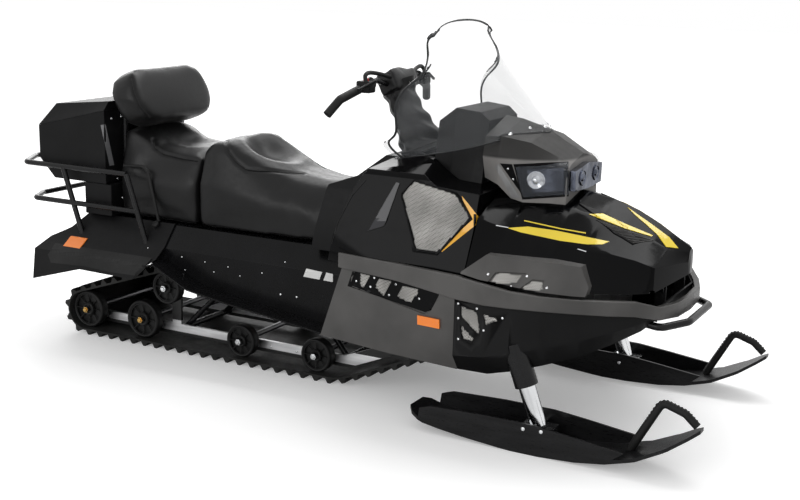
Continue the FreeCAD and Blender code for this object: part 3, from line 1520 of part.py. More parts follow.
def bar_points(side):
    """The handlebar's bends on one side, from the middle out."""
    reach = float(size.column_reach)
    half = float(size.bar_half_width)
    rise = float(size.bar_rise)
    sweep = float(size.bar_sweep)
    drop = float(size.bar_drop)
    return [turned(Vector(0, side * half * 0.16, reach)),
            turned(Vector(0, side * half * 0.42, reach + rise)),
            turned(Vector(-sweep * 0.75, side * half * 0.90, reach + rise - drop * 0.55)),
            turned(Vector(-sweep * 1.25, side * half * 1.03, reach + rise - drop * 1.15))]


def make_handlebar():
    column = leaning_rod("column", size.column_radius, size.column_foot_x, ZERO,
                         size.column_foot_height, size.column_reach + size.column_socket,
                         size.column_rake, -size.column_socket)
    document.recompute()
    right = bar_points(RIGHT)
    left = bar_points(LEFT)
    bend = float(size.bar_radius) * 2.5
    bar = tube(list(reversed(right)) + left, size.bar_radius, bend)
    handlebar = bar.fuse(column.Shape)
    keep(shape_feature("handlebar", handlebar), "handlebar")
    grips = []
    controls = []
    for points in (right, left):
        straight = (points[2] - points[1]).normalize()
        start = points[2] - straight * float(size.grip_length)
        grips.append(tube([start, points[2], points[3]], size.grip_radius, bend).cut(bar))
        block_end = start - straight * float(size.seam)
        block = tube([block_end - straight * float(size.control_length), block_end],
                     size.control_radius, bend)
        lever_start = block_end - straight * float(size.control_length) / 2
        ahead = turned(Vector(float(size.lever_reach), 0, 0)) - turned(Vector(0, 0, 0))
        lever = tube([lever_start, lever_start + ahead,
                      lever_start + ahead + straight * float(size.lever_length)],
                     size.lever_radius, float(size.lever_radius) * 2)
        controls.append(block.fuse(lever).cut(bar))
    keep(shape_feature("handlebar_grips", Part.Compound(grips)), "handlebar_grips")
    keep(shape_feature("handlebar_controls", Part.Compound(controls)), "handlebar_controls")
    width = float(size.bar_half_width) * 0.5
    depth = float(size.pad_depth)
    foot = float(size.column_reach) - depth * 0.3
    pad = Part.makeBox(depth, width, depth, Vector(-depth / 2, -width / 2, foot))
    turn = Placement(turned(Vector(0, 0, 0)), tilt(size.column_rake))
    pad = pad.transformGeometry(turn.toMatrix()).cut(handlebar)
    pad = max(pad.Solids, key=lambda solid: solid.Volume)
    keep(shape_feature("handlebar_pad", pad), "handlebar_pad")


def make_boot():
    foot = Vector(0, 0, -float(size.column_socket) / 2)
    turn = Placement(turned(Vector(0, 0, 0)), tilt(size.column_rake))
    height = float(size.boot_height) + float(size.column_socket) / 2
    cone = Part.makeCone(float(size.boot_base_radius), float(size.boot_top_radius), height, foot)
    clear = float(size.column_radius + size.moving_gap)
    hole = Part.makeCylinder(clear, height * 3, foot - Vector(0, 0, height))
    boot = cone.cut(hole).transformGeometry(turn.toMatrix())
    for name in ("console", "tank_cover", "dashboard"):
        boot = boot.cut(document.getObject(name).Shape)
    boot = max(boot.Solids, key=lambda solid: solid.Volume)
    keep(shape_feature("handlebar_boot", boot), "handlebar_boot")


def make_arms():
    inner = float(size.tunnel_half_width - size.tunnel_wall)
    radius = float(size.arm_radius)
    rail_inner = float(size.rail_offset) - float(size.rail_width) / 2
    foot_height = float(belt_bottom() + size.slider_height + size.rail_height / 2)
    offset = float(size.arm_offset)
    along = Vector(0, 1, 0)
    bars = []
    middles = []
    for head_x, head_z, foot_x in ((size.front_arm_x, size.front_arm_height, size.arm_foot_x),
                                   (size.rear_arm_x, size.rear_arm_height, size.rear_arm_foot_x)):
        head = vector(head_x, ZERO, head_z)
        foot = Vector(float(foot_x), 0, foot_height)
        middle = (head + foot) / 2
        shafts = [Part.makeCylinder(radius * share, half * 2, centre - along * half, along)
                  for centre, half, share in ((head, inner, 1), (foot, rail_inner, 1),
                                              (middle, offset, BRACE_RADIUS_SHARE))]
        for side in (RIGHT, LEFT):
            start = head + along * (side * offset)
            shafts.append(Part.makeCylinder(radius * LEG_RADIUS_SHARE, (foot - head).Length,
                                            start, foot - head))
        bars.append(shafts[0].multiFuse(shafts[1:]))
        middles.append(middle)
    keep(shape_feature("suspension_arms", Part.Compound(bars)), "suspension_arms")
    top = vector(size.rear_arm_x, ZERO, size.rear_arm_height)
    run = (middles[0] - top).normalize()
    gap = radius + float(size.seam)
    reach = (middles[0] - top).Length - gap * 2
    damper = Part.makeCylinder(float(size.shock_radius) / 2, reach, top + run * gap, run)
    spring = Part.makeCylinder(float(size.shock_radius), reach * SPRING_LENGTH_SHARE,
                               top + run * (gap + reach * SPRING_START_SHARE), run)
    keep(shape_feature("shock_absorber", damper.fuse(spring)), "shock_absorber")


# The legs and the cross brace of an arm as shares of the radius of its shafts
LEG_RADIUS_SHARE = 0.88
BRACE_RADIUS_SHARE = 0.76
# The spring's start and length as shares of the shock absorber's
SPRING_START_SHARE = 0.12
SPRING_LENGTH_SHARE = 0.62


def make_hitch():
    plate = size.hitch_plate
    tongue = [(size.hitch_reach_x, size.hitch_height), (size.tunnel_rear_x, size.hitch_height),
              (size.tunnel_rear_x, size.hitch_height + plate),
              (size.hitch_reach_x, size.hitch_height + plate)]
    body = centred_prism("hitch_tongue", tongue, size.hitch_width / 2)
    hole = document.addObject("Part::Cylinder", "hitch_hole")
    bind(hole, "Radius", size.hitch_pin_radius)
    bind(hole, "Height", plate * 3)
    placed(hole, size.hitch_reach_x + size.hitch_width / 2, ZERO, size.hitch_height - plate)
    drop = [(size.tunnel_rear_x, size.hitch_height), (size.tunnel_rear_x + plate, size.hitch_height),
            (size.tunnel_rear_x + plate, size.tunnel_top - size.tunnel_wall),
            (size.tunnel_rear_x, size.tunnel_top - size.tunnel_wall)]
    back = centred_prism("hitch_back", drop, size.tunnel_top_half_width - size.tunnel_wall)
    joined = document.addObject("Part::Fuse", "hitch_form")
    joined.Base = body
    joined.Tool = back
    hitch = document.addObject("Part::Cut", "tow_hitch")
    hitch.Base = joined
    hitch.Tool = hole
    keep(hitch, "tow_hitch")


def make_tail_lamp():
    lamp = document.addObject("Part::Box", "tail_lamp")
    bind(lamp, "Length", size.reflector_depth * 3)
    bind(lamp, "Width", size.reflector_length * 2)
    bind(lamp, "Height", size.reflector_height)
    placed(lamp, size.trunk_rear_x - size.reflector_depth * 3, -size.reflector_length,
           size.trunk_bottom + size.trunk_heel + size.reflector_height)
    keep(lamp, "tail_lamp")


def make_grab_straps():
    y = -float(size.seat_half_width + size.strap_radius + size.seam)
    low = float(seat_low())
    rise = float(size.seat_top) - low
    length = float(size.passenger_seat_length)
    points = [Vector(float(size.passenger_seat_rear_x) + length * x, y, low + rise * z)
              for x, z in STRAP_SHARES]
    strap = tube(points, size.strap_radius, float(size.strap_radius) * 6)
    keep(shape_feature("grab_straps", both_sides(strap)), "grab_straps")


# Grab strap: shares of the passenger seat's length and height
STRAP_SHARES = ((0.12, 0.60), (0.42, 0.62), (0.56, 0.02))


def build():
    make_bumper_band()
    make_belly_pan()
    make_side_panels()
    make_hood()
    make_hood_vents()
    make_scoops()
    make_pod_and_lens()
    make_screen()
    make_console()
    make_dashboard()
    make_tank_cover()
    make_tunnel()
    make_running_boards()
    make_track()
    make_axles(make_wheels())
    make_rails()
    make_engine()
    for name, side in SIDES:
        make_ski(name, side)
    document.recompute()
    sleeves = []
    for name, side in SIDES:
        make_ski_loop(name, side)
        sleeves.append(make_strut(name, side))
    keep(shape_feature("strut_sleeves", Part.Compound(sleeves)), "strut_sleeves")
    make_seats()
    make_trunk()
    make_fender()
    make_rack(make_backrest())
    make_hex_grilles()
    make_reflectors()
    make_front_bumper()
    make_handlebar()
    make_boot()
    make_arms()
    make_hitch()
    make_tail_lamp()
    make_grab_straps()


def export():
    document.recompute()
    for item in document.Objects:
        if "Invalid" in item.State or "Error" in item.State:
            raise RuntimeError("%s failed: %s" % (item.Name, item.State))
    os.makedirs("parts", exist_ok=True)
    for piece in nodes:
        if piece.Shape.isNull() or not piece.Shape.isValid():
            raise RuntimeError("%s has no valid shape" % piece.Label)
        piece.Shape.exportStep("parts/%s.step" % piece.Label)


build()
export()
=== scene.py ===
"""Finishes and small parts of a utility snowmobile, laid out as a Blender add-on.

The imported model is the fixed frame: its panels are copied with rounded edges, soft parts are
modelled and swelled, and screws, mesh, stripes and trim are added in the same metres.
"""

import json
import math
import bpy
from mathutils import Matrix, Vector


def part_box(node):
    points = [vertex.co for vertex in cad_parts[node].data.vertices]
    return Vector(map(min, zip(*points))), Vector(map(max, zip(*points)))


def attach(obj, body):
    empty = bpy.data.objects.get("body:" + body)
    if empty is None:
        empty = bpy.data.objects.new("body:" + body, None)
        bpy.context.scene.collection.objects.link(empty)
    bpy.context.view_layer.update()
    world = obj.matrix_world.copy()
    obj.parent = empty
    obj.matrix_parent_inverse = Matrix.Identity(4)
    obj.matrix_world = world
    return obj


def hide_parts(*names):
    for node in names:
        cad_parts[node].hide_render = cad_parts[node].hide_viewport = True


bl_info = {
    "name": "Utility snowmobile dressing",
    "version": (1, 0, 0),
    "blender": (4, 5, 0),
    "location": "3D View > Sidebar > Snowmobile",
    "description": "Dresses the packed snowmobile with its finishes and small parts",
    "category": "Object",
}

from contextlib import contextmanager

import bmesh
import bpy
import numpy as np
from bpy.props import FloatProperty, FloatVectorProperty, IntProperty, PointerProperty
from mathutils import Matrix, Vector
from mathutils.bvhtree import BVHTree

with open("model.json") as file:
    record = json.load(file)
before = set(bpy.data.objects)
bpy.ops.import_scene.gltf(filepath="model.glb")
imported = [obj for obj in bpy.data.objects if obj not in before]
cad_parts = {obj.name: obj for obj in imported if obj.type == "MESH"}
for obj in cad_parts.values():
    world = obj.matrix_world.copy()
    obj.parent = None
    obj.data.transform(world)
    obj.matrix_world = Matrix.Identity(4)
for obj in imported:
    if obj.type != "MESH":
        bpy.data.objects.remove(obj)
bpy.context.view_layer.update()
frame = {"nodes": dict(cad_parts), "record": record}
NODES = frame["nodes"]
PHOTO_WIDTH, PHOTO_HEIGHT = 800, 500
MM = 0.001
# The sides of the vehicle as signs of Y, its directions, and what takes a right place to the left
RIGHT, LEFT = -1, 1
BOTH = (RIGHT, LEFT)
AHEAD, ACROSS, UP = Vector((1, 0, 0)), Vector((0, 1, 0)), Vector((0, 0, 1))
MIRROR = Vector((1, -1, 1))
# Turns between faces up to which a shape is shaded as one smooth surface
SMOOTH_TUBE, SMOOTH_PART, SMOOTH_TURNED = (math.radians(turn) for turn in (60, 50, 40))


# Sizes and colours that a user would change

class StageSettings(bpy.types.PropertyGroup):
    """The camera's place, the floor and the lamps"""
    azimuth: FloatProperty(name="Azimuth", description="Turn of the camera round the vehicle",
                           subtype="ANGLE", default=math.radians(28.21))
    elevation: FloatProperty(name="Elevation", description="Height angle of the camera",
                             subtype="ANGLE", default=math.radians(12.95))
    roll: FloatProperty(name="Roll", description="Tilt of the camera about its own axis",
                        subtype="ANGLE", default=math.radians(1.24))
    place: FloatVectorProperty(name="Place", description="Where the camera stands",
                               subtype="TRANSLATION", unit="LENGTH", default=(2.635, -4.496, 1.697))
    focal_pixels: FloatProperty(name="Focal length in pixels",
                                description="Focal length, measured in pixels of the picture",
                                default=1261.7)
    floor_colour: FloatVectorProperty(name="Floor colour", description="Colour of the floor",
                                      subtype="COLOR", default=(0.86, 0.86, 0.86))
    key_power: FloatProperty(name="Key lamp", description="Power of the large lamp overhead",
                             subtype="POWER", default=95.0)
    side_power: FloatProperty(name="Side lamp", description="Power of the lamp beside the camera",
                              subtype="POWER", default=120.0)
    rear_power: FloatProperty(name="Rear lamp", description="Power of the lamp behind the vehicle",
                              subtype="POWER", default=75.0)
    floor_glow: FloatProperty(name="Floor glow",
                              description="Added white of the far floor, in the camera's view",
                              default=0.62)
    sky: FloatProperty(name="Room light", description="Strength of the light from all round",
                       default=0.62)


class PaintSettings(bpy.types.PropertyGroup):
    """Colours of the finishes"""
    gloss_black: FloatVectorProperty(name="Gloss black", description="Colour of the painted panels",
                                     subtype="COLOR", default=(0.0015, 0.0015, 0.0018))
    charcoal: FloatVectorProperty(name="Charcoal", description="Colour of the matte side panels",
                                  subtype="COLOR", default=(0.055, 0.053, 0.051))
    satin_black: FloatVectorProperty(name="Satin black", description="Colour of the black plastic",
                                     subtype="COLOR", default=(0.0055, 0.0055, 0.0058))
    vinyl: FloatVectorProperty(name="Vinyl", description="Colour of the seats", subtype="COLOR",
                               default=(0.0050, 0.0050, 0.0052))
    yellow: FloatVectorProperty(name="Stripe yellow", description="Colour of the wide stripes",
                                subtype="COLOR", default=(0.83, 0.62, 0.02))
    chevron: FloatVectorProperty(name="Chevron amber", description="Colour of the side chevrons",
                                 subtype="COLOR", default=(0.85, 0.42, 0.02))
    reflector: FloatVectorProperty(name="Reflector", description="Colour of the side reflectors",
                                   subtype="COLOR", default=(0.95, 0.23, 0.01))
    spring: FloatVectorProperty(name="Spring", description="Colour of the shock absorber's spring",
                                subtype="COLOR", default=(0.72, 0.30, 0.02))


class EdgeSettings(bpy.types.PropertyGroup):
    """How the copied panels are rounded"""
    weld: FloatProperty(name="Weld", description="Distance within which corners are joined",
                        unit="LENGTH", default=0.02 * MM)
    flat: FloatProperty(name="Flat", description="Turn below which faces are one face",
                        subtype="ANGLE", default=math.radians(0.6))
    crease: FloatProperty(name="Crease", description="Turn above which an edge is rounded",
                          subtype="ANGLE", default=math.radians(32))
    rim: FloatProperty(name="Rim", description="Radius of the bead on the windscreen's edges",
                       unit="LENGTH", default=2.6 * MM)
    segments: IntProperty(name="Segments", description="Faces across a rounded edge", default=3)


class SoftSettings(bpy.types.PropertyGroup):
    """How the padded pieces swell"""
    voxel: FloatProperty(name="Voxel", description="Cell of the remeshed pad", unit="LENGTH",
                         default=11 * MM)
    pressure: FloatProperty(name="Pressure", description="Pressure inside the pad", default=3.0)
    frames: IntProperty(name="Frames", description="Steps of the simulation", default=18)
    swell: FloatProperty(name="Swell", description="The furthest that a point may move",
                         unit="LENGTH", default=7 * MM)


# Materials

def new_material(name="finish"):
    """A new material, its node tree and its shader."""
    material = bpy.data.materials.new(name)
    material.use_nodes = True
    return material, material.node_tree, material.node_tree.nodes["Principled BSDF"]


def feed(tree, node, links=(), **values):
    """Sets a node's settings and socket values by name, and links its sockets."""
    for name, value in values.items():
        if hasattr(node, name):
            setattr(node, name, value)
        else:
            node.inputs[name.replace("_", " ")].default_value = value
    for socket, source in dict(links).items():
        tree.links.new(source, node.inputs[socket])
    return node


def add_node(tree, kind, links=(), **values):
    """A new node, set and linked."""
    return feed(tree, tree.nodes.new(kind), links, **values)


def object_place(tree, scale=(1.0, 1.0, 1.0)):
    """Object coordinates, stretched by scale."""
    place = tree.nodes.new("ShaderNodeTexCoord")
    mapping = add_node(tree, "ShaderNodeMapping", {"Vector": place.outputs["Object"]}, Scale=scale)
    return mapping.outputs["Vector"]


def height_of(tree, place):
    """The height of a place above the ground."""
    split = add_node(tree, "ShaderNodeSeparateXYZ", {"Vector": place})
    return split.outputs["Z"]


def noise_of(tree, vector, scale, detail=3.0):
    """A soft noise of the given scale."""
    texture = add_node(tree, "ShaderNodeTexNoise", {"Vector": vector}, Scale=scale, Detail=detail)
    return texture.outputs["Fac"]


# The range in which a noise mostly lies, and the narrower one over which a colour changes
NOISE_LOW, NOISE_HIGH = 0.3, 0.7
RAMP_ENDS = (0.35, 0.65)
# The roughness of a clear coat and of a sheen
COAT_ROUGHNESS, SHEEN_ROUGHNESS = 0.06, 0.4


def spread(tree, value, low, high):
    """Maps a texture's middle range to low and high."""
    node = add_node(tree, "ShaderNodeMapRange", {"Value": value}, From_Min=NOISE_LOW,
                    From_Max=NOISE_HIGH, To_Min=low, To_Max=high)
    return node.outputs["Result"]


def lighter(colour, factor):
    """A colour times a factor, no brighter than white."""
    return tuple(min(1.0, channel * factor) for channel in colour)


def mottled(tree, value, colour, low, high):
    """A colour that runs from low to high times itself over a texture's middle range."""
    ramp = add_node(tree, "ShaderNodeValToRGB", {"Fac": value})
    for element, factor, position in zip(ramp.color_ramp.elements, (low, high), RAMP_ENDS):
        element.color = (*lighter(colour, factor), 1)
        element.position = position
    return ramp.outputs["Color"]


def mixed(tree, factor, first, second):
    """The first colour where factor is 0 and the second where it is 1."""
    mix = add_node(tree, "ShaderNodeMix", {"Factor": factor}, data_type="RGBA")
    colours = [socket for socket in mix.inputs if socket.type == "RGBA"]
    for socket, colour in zip(colours, (first, second)):
        tree.links.new(colour, socket)
    return next(socket for socket in mix.outputs if socket.type == "RGBA")


def bump(tree, shader, *heights):
    """Adds one bump node for each (height, strength, distance)."""
    links = {}
    for height, strength, distance in heights:
        node = add_node(tree, "ShaderNodeBump", {"Height": height, **links}, Strength=strength,
                        Distance=distance)
        links = {"Normal": node.outputs["Normal"]}
    feed(tree, shader, links)


def surface(colour, rough, metallic=0.0, coat=0.0, grain=300.0, grain_depth=0.05, wave=6.0,
            wave_depth=0.0, mottle=1.35, rough_spread=0.06, stretch=(1.0, 1.0, 1.0), gleam=0.20):
    """A finish with colour and roughness that vary softly, a fine grain and a slow waviness."""
    material, tree, shader = new_material()
    place = object_place(tree, stretch)
    tone, wear = noise_of(tree, place, wave), noise_of(tree, place, wave * 9)
    # Painted highlights: thin white lines along the hood's side crease, where it catches the light
    feed(tree, shader, {
        "Base Color": mottled(tree, tone, colour, 1 / mottle, mottle),
        "Roughness": spread(tree, wear, rough - rough_spread, rough + rough_spread),
    }, Metallic=metallic, Coat_Weight=coat, Coat_Roughness=COAT_ROUGHNESS)
    if not metallic:
        feed(tree, shader, Specular_IOR_Level=gleam)
    heights = [(noise_of(tree, place, grain, 2.0), grain_depth, 0.4 * MM)]
    if wave_depth:
        heights.append((noise_of(tree, place, wave * 1.7), wave_depth, 6 * MM))
    bump(tree, shader, *heights)
    return material


def pebbled(colour, rough, cell, depth, sheen=0.0, gleam=0.20):
    """Moulded plastic or vinyl with a pebble grain."""
    material, tree, shader = new_material()
    place = object_place(tree)
    pebble = add_node(tree, "ShaderNodeTexVoronoi", {"Vector": place}, feature="F1", Scale=cell)
    feed(tree, shader, {
        "Base Color": mottled(tree, noise_of(tree, place, 5.0), colour, 0.8, 1.25),
        "Roughness": spread(tree, noise_of(tree, place, 60.0), rough - 0.05, rough + 0.07),
    }, Sheen_Weight=sheen, Sheen_Roughness=SHEEN_ROUGHNESS, Specular_IOR_Level=gleam)
    bump(tree, shader, (pebble.outputs["Distance"], depth, 0.5 * MM),
         (noise_of(tree, place, 40.0), depth * 0.6, 1.2 * MM))
    return material


def banded(bright, dark, low, high):
    """Bright metal between two heights, and black below and above them."""
    material, tree, shader = new_material()
    place = object_place(tree)
    within = add_node(tree, "ShaderNodeMath", {0: height_of(tree, place)}, operation="COMPARE")
    within.inputs[1].default_value = (low + high) / 2
    within.inputs[2].default_value = (high - low) / 2
    slow = noise_of(tree, object_place(tree, (0.1, 1.0, 1.0)), 40.0)
    tones = [mottled(tree, slow, colour, 0.85, 1.15) for colour in (dark, bright)]
    feed(tree, shader, {
        "Base Color": mixed(tree, within.outputs[0], *tones),
        "Metallic": within.outputs[0],
        "Roughness": spread(tree, noise_of(tree, place, 30.0), 0.34, 0.46),
    })
    bump(tree, shader, (noise_of(tree, place, 300.0), 0.06, 0.4 * MM))
    return material


def painted_light_and_shade(below, above, height):
    """Grained plastic with a painted light tone below a height and a painted shade tone above it,
    blended softly there.
    """
    material, tree, shader = new_material()
    place = object_place(tree)
    rise = add_node(tree, "ShaderNodeMapRange", {"Value": height_of(tree, place)},
                    interpolation_type="SMOOTHSTEP", From_Min=height - 6 * MM,
                    From_Max=height + 6 * MM)
    slow = noise_of(tree, place, 9.0)
    # The tone below the height is painted light, the tone above it painted shade
    tones = [mottled(tree, slow, colour, 0.9, 1.1) for colour in (below, above)]
    feed(tree, shader, {
        "Base Color": mixed(tree, rise.outputs["Result"], *tones),
        "Roughness": spread(tree, noise_of(tree, place, 30.0), 0.42, 0.52),
    }, Specular_IOR_Level=0.20)
    bump(tree, shader, (noise_of(tree, place, 1100.0), 0.22, 0.3 * MM))
    return material


def clear_sheet(tint, alpha):
    """A clear sheet that shows mostly its gloss."""
    material, tree, shader = new_material()
    place = object_place(tree)
    feed(tree, shader, {"Roughness": spread(tree, noise_of(tree, place, 30.0), 0.02, 0.07)},
         Base_Color=(*tint, 1), Alpha=alpha, IOR=1.49)
    bump(tree, shader, (noise_of(tree, place, 3.0), 0.04, 2 * MM))
    return material


def ribbed_lens(colour, ribs):
    """A lamp or reflector lens with moulded cells."""
    material, tree, shader = new_material()
    place = object_place(tree)
    cells = add_node(tree, "ShaderNodeTexVoronoi", {"Vector": place}, feature="F1", Scale=ribs,
                     Randomness=0.0)
    feed(tree, shader, {"Roughness": spread(tree, noise_of(tree, place, 25.0), 0.16, 0.22)},
         Base_Color=(*colour, 1), Coat_Weight=0.5)
    bump(tree, shader, (cells.outputs["Distance"], 0.35, 0.8 * MM))
    return material


# The height at which the lamp pod's painted shade on its crown meets the painted light on its sides,
# in metres
POD_SHADE_HEIGHT = 0.985
# The heights between which the slide rails are bare metal, in metres
RAIL_BAND = (0.060, 0.112)


def make_finishes(paint):
    """Every finish by its name in the record's slots, and those of the small parts."""
    finishes = {
        "gloss_black": surface(paint.gloss_black, 0.11, grain=260.0, grain_depth=0.03, wave=3.0,
                               wave_depth=0.06, rough_spread=0.03, gleam=0.09),
        "charcoal": pebbled(paint.charcoal, 0.38, 1100.0, 0.22, gleam=0.42),
        "satin_black": pebbled(paint.satin_black, 0.42, 900.0, 0.16, gleam=0.13),
        # Lamp pod: painted light makes its sides lighter, and painted shade makes its crown darker,
        # than the charcoal
        "pod_grey": painted_light_and_shade(lighter(paint.charcoal, 3.4), lighter(paint.charcoal, 0.45),
                             POD_SHADE_HEIGHT),
        "flap_grey": pebbled((0.016, 0.016, 0.016), 0.50, 700.0, 0.30, gleam=0.15),
        "band_grey": pebbled(lighter(paint.charcoal, 1.1), 0.36, 800.0, 0.24, gleam=0.42),
        "black_vinyl": pebbled(paint.vinyl, 0.36, 620.0, 0.24, sheen=0.02, gleam=0.24),
        "black_rubber": surface((0.010, 0.010, 0.010), 0.52, grain=500.0, grain_depth=0.15),
        "track_rubber": surface((0.014, 0.014, 0.0135), 0.62, grain=320.0, grain_depth=0.3,
                                mottle=1.6),
        "wheel_black": surface((0.008, 0.008, 0.008), 0.40, grain=420.0, grain_depth=0.12,
                               mottle=1.5),
        "black_tube": surface((0.005, 0.005, 0.0055), 0.28, coat=0.1, grain=700.0,
                              grain_depth=0.10),
        "painted_black": surface((0.0030, 0.0030, 0.0034), 0.26, grain=120.0, grain_depth=0.02,
                                 wave_depth=0.03, gleam=0.13),
        "ski_black": surface((0.008, 0.008, 0.0085), 0.34, grain_depth=0.12, mottle=1.5,
                             rough_spread=0.1, stretch=(1.0, 6.0, 6.0)),
        "steel": surface((0.16, 0.16, 0.165), 0.40, metallic=1.0, grain=600.0, grain_depth=0.10,
                         stretch=(1.0, 0.08, 1.0)),
        "rail": banded((0.86, 0.86, 0.87), (0.010, 0.010, 0.010), *RAIL_BAND),
        "alloy": surface((0.58, 0.58, 0.59), 0.30, metallic=1.0, grain=500.0, grain_depth=0.08,
                         mottle=1.2, stretch=(0.06, 1.0, 1.0)),
        "zinc": surface((0.74, 0.75, 0.76), 0.16, metallic=1.0, grain_depth=0.03, mottle=1.1),
        "cast_grey": surface((0.19, 0.19, 0.19), 0.55, metallic=0.8, grain=200.0,
                             grain_depth=0.5),
        "yellow_spring": surface(paint.spring, 0.32, coat=0.4, mottle=1.2),
        "mesh_grey": surface((0.42, 0.41, 0.39), 0.38, metallic=0.85, grain=600.0,
                             grain_depth=0.08),
        "orange_lens": ribbed_lens(paint.reflector, 230.0),
        "red_lens": ribbed_lens((0.42, 0.008, 0.008), 180.0),
        "stripe_yellow": surface(paint.yellow, 0.20, coat=0.8, grain_depth=0.02, mottle=1.06),
        "stripe_amber": surface(paint.chevron, 0.20, coat=0.8, grain_depth=0.02, mottle=1.06),
        # The white of the painted highlights along the hood's side crease
        "stripe_white": surface((0.75, 0.76, 0.78), 0.22, coat=0.6, grain_depth=0.02,
                                mottle=1.05),
        "label_white": surface((0.68, 0.68, 0.67), 0.45, grain=200.0, grain_depth=0.04,
                               mottle=1.08),
        "strip_grey": surface((0.16, 0.16, 0.165), 0.38, grain_depth=0.06, mottle=1.15),
        "brass": surface((0.62, 0.40, 0.14), 0.26, metallic=1.0, mottle=1.2),
        "red_button": surface((0.62, 0.03, 0.03), 0.35, mottle=1.1),
        "lamp_mirror": surface((0.80, 0.82, 0.85), 0.08, metallic=1.0, grain=60.0,
                               grain_depth=0.03, mottle=1.05),
        # Painted shade: the dark bead that stands for the dark look of the windscreen's clear cut
        # edge
        "screen_rim": surface((0.02, 0.021, 0.022), 0.2, grain_depth=0.02),
        "dark_glass": surface((0.012, 0.012, 0.015), 0.08, coat=0.5, grain=200.0,
                              grain_depth=0.02, rough_spread=0.03),
        "dark_chrome": surface((0.10, 0.11, 0.14), 0.12, metallic=1.0, grain=40.0,
                               grain_depth=0.02, wave=14.0, wave_depth=0.5, mottle=1.8),
        "clear_lens": clear_sheet((0.10, 0.11, 0.13), 0.16),
        "clear_screen": clear_sheet((0.20, 0.21, 0.22), 0.10),
    }
    for name, material in finishes.items():
        material.name = name
    return finishes


# The finishes by name, which the first step fills
FINISHES = {}


# Shared mesh helpers

@contextmanager
def edited(mesh):
    """Opens a mesh for editing, and writes it back at the end of the block."""
    form = bmesh.new()
    form.from_mesh(mesh)
    yield form
    form.to_mesh(mesh)
    form.free()


def faces_in(items):
    """The faces among a list of mesh parts."""
    return [item for item in items if isinstance(item, bmesh.types.BMFace)]


def in_scene(name, data):
    """A new object in the scene that holds data."""
    holder = bpy.data.objects.new(name, data)
    bpy.context.scene.collection.objects.link(holder)
    return holder


def plain_mesh(carrier):
    """The carrier's shape with its modifiers as a plain mesh, and the carrier gone."""
    graph = bpy.context.evaluated_depsgraph_get()
    mesh = bpy.data.meshes.new_from_object(carrier.evaluated_get(graph))
    bpy.data.objects.remove(carrier)
    return mesh


def body_of(node):
    """The body that a node of the frame belongs to."""
    return next(body for body, members in frame["record"]["behaviour"]["bodies"].items()
                if node in members)


def shade(mesh, turn):
    """Shades a mesh smoothly, apart from edges that turn by more than an angle."""
    mesh.shade_smooth()
    mesh.set_sharp_from_angle(angle=turn)


def paint(mesh, material):
    """Gives a mesh one finish."""
    mesh.materials.clear()
    mesh.materials.append(FINISHES[material])


def add_piece(name, mesh, body, slot, material=None, replaced=(), smooth=None):
    """Links a mesh as a piece that rides on a body."""
    piece = in_scene(name, mesh)
    paint(mesh, material or slot)
    if smooth is not None:
        shade(mesh, smooth)
    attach(piece, body)
    if replaced:
        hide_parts(*replaced)
    return piece


def solid_copy(node, weld, flat=0.0):
    """A node's mesh with its corners joined and, below the flat angle, its faces whole."""
    copy = bpy.data.meshes.new(node + "_form")
    with edited(copy) as form:
        form.from_mesh(NODES[node].data)
        bmesh.ops.remove_doubles(form, verts=form.verts, dist=weld)
        if flat:
            bmesh.ops.dissolve_limit(form, angle_limit=flat, verts=form.verts, edges=form.edges)
    for name in ("custom_normal", "sharp_edge", "sharp_face"):
        if name in copy.attributes:
            copy.attributes.remove(copy.attributes[name])
    return copy


def applied(mesh, *modifiers):
    """A mesh with modifiers, each (kind, values), turned into a plain mesh."""
    carrier = in_scene("carrier", mesh)
    for kind, values in modifiers:
        modifier = carrier.modifiers.new(kind.lower(), kind)
        for name, value in values.items():
            setattr(modifier, name, value)
    return plain_mesh(carrier)


def rounded_node(node, width, slot, material=None):
    """The node's panel with rounded edges, in place of the node."""
    edges = bpy.context.scene.snowmobile_edges
    copy = solid_copy(node, edges.weld, edges.flat)
    copy.shade_smooth()
    rounded = applied(copy, ("BEVEL", {"width": width, "segments": edges.segments,
                                       "limit_method": "ANGLE", "angle_limit": edges.crease,
                                       "use_clamp_overlap": True, "loop_slide": True}),
                      ("WEIGHTED_NORMAL", {"keep_sharp": True}))
    rounded.name = node + "_panel"
    return add_piece(node + "_panel", rounded, body_of(node), slot, material, (node,))


def join_meshes(name, meshes):
    """One mesh of several."""
    joined = bpy.data.meshes.new(name)
    with edited(joined) as form:
        for mesh in meshes:
            form.from_mesh(mesh)
    return joined


def mirrored_mesh(mesh, sides=BOTH):
    """A right-hand mesh, alone or with its mirror image on the left."""
    if LEFT not in sides:
        return mesh
    with edited(mesh) as form:
        everything = form.verts[:] + form.edges[:] + form.faces[:]
        extra = bmesh.ops.duplicate(form, geom=everything)["geom"]
        for item in extra:
            if isinstance(item, bmesh.types.BMVert):
                item.co.y = -item.co.y
        bmesh.ops.reverse_faces(form, faces=faces_in(extra))
    return mesh


def tube_mesh(name, points, radius, sides=10, closed=False, bend=8):
    """A round tube along a smooth curve through points."""
    curve = bpy.data.curves.new(name, "CURVE")
    curve.dimensions = "3D"
    curve.bevel_depth = radius
    curve.bevel_resolution = max(1, sides // 4)
    curve.resolution_u = bend
    curve.use_fill_caps = True
    spline = curve.splines.new("NURBS")
    spline.points.add(len(points) - 1)
    for place, point in zip(points, spline.points):
        point.co = (*place, 1)
    spline.use_endpoint_u = True
    spline.order_u = 3
    spline.use_cyclic_u = closed
    mesh = plain_mesh(in_scene(name, curve))
    mesh.shade_smooth()
    return mesh


def circle(form, radius, height, count):
    """Corners on a level circle about Z."""
    return [form.verts.new((radius * math.cos(math.tau * k / count),
                            radius * math.sin(math.tau * k / count), height))
            for k in range(count)]


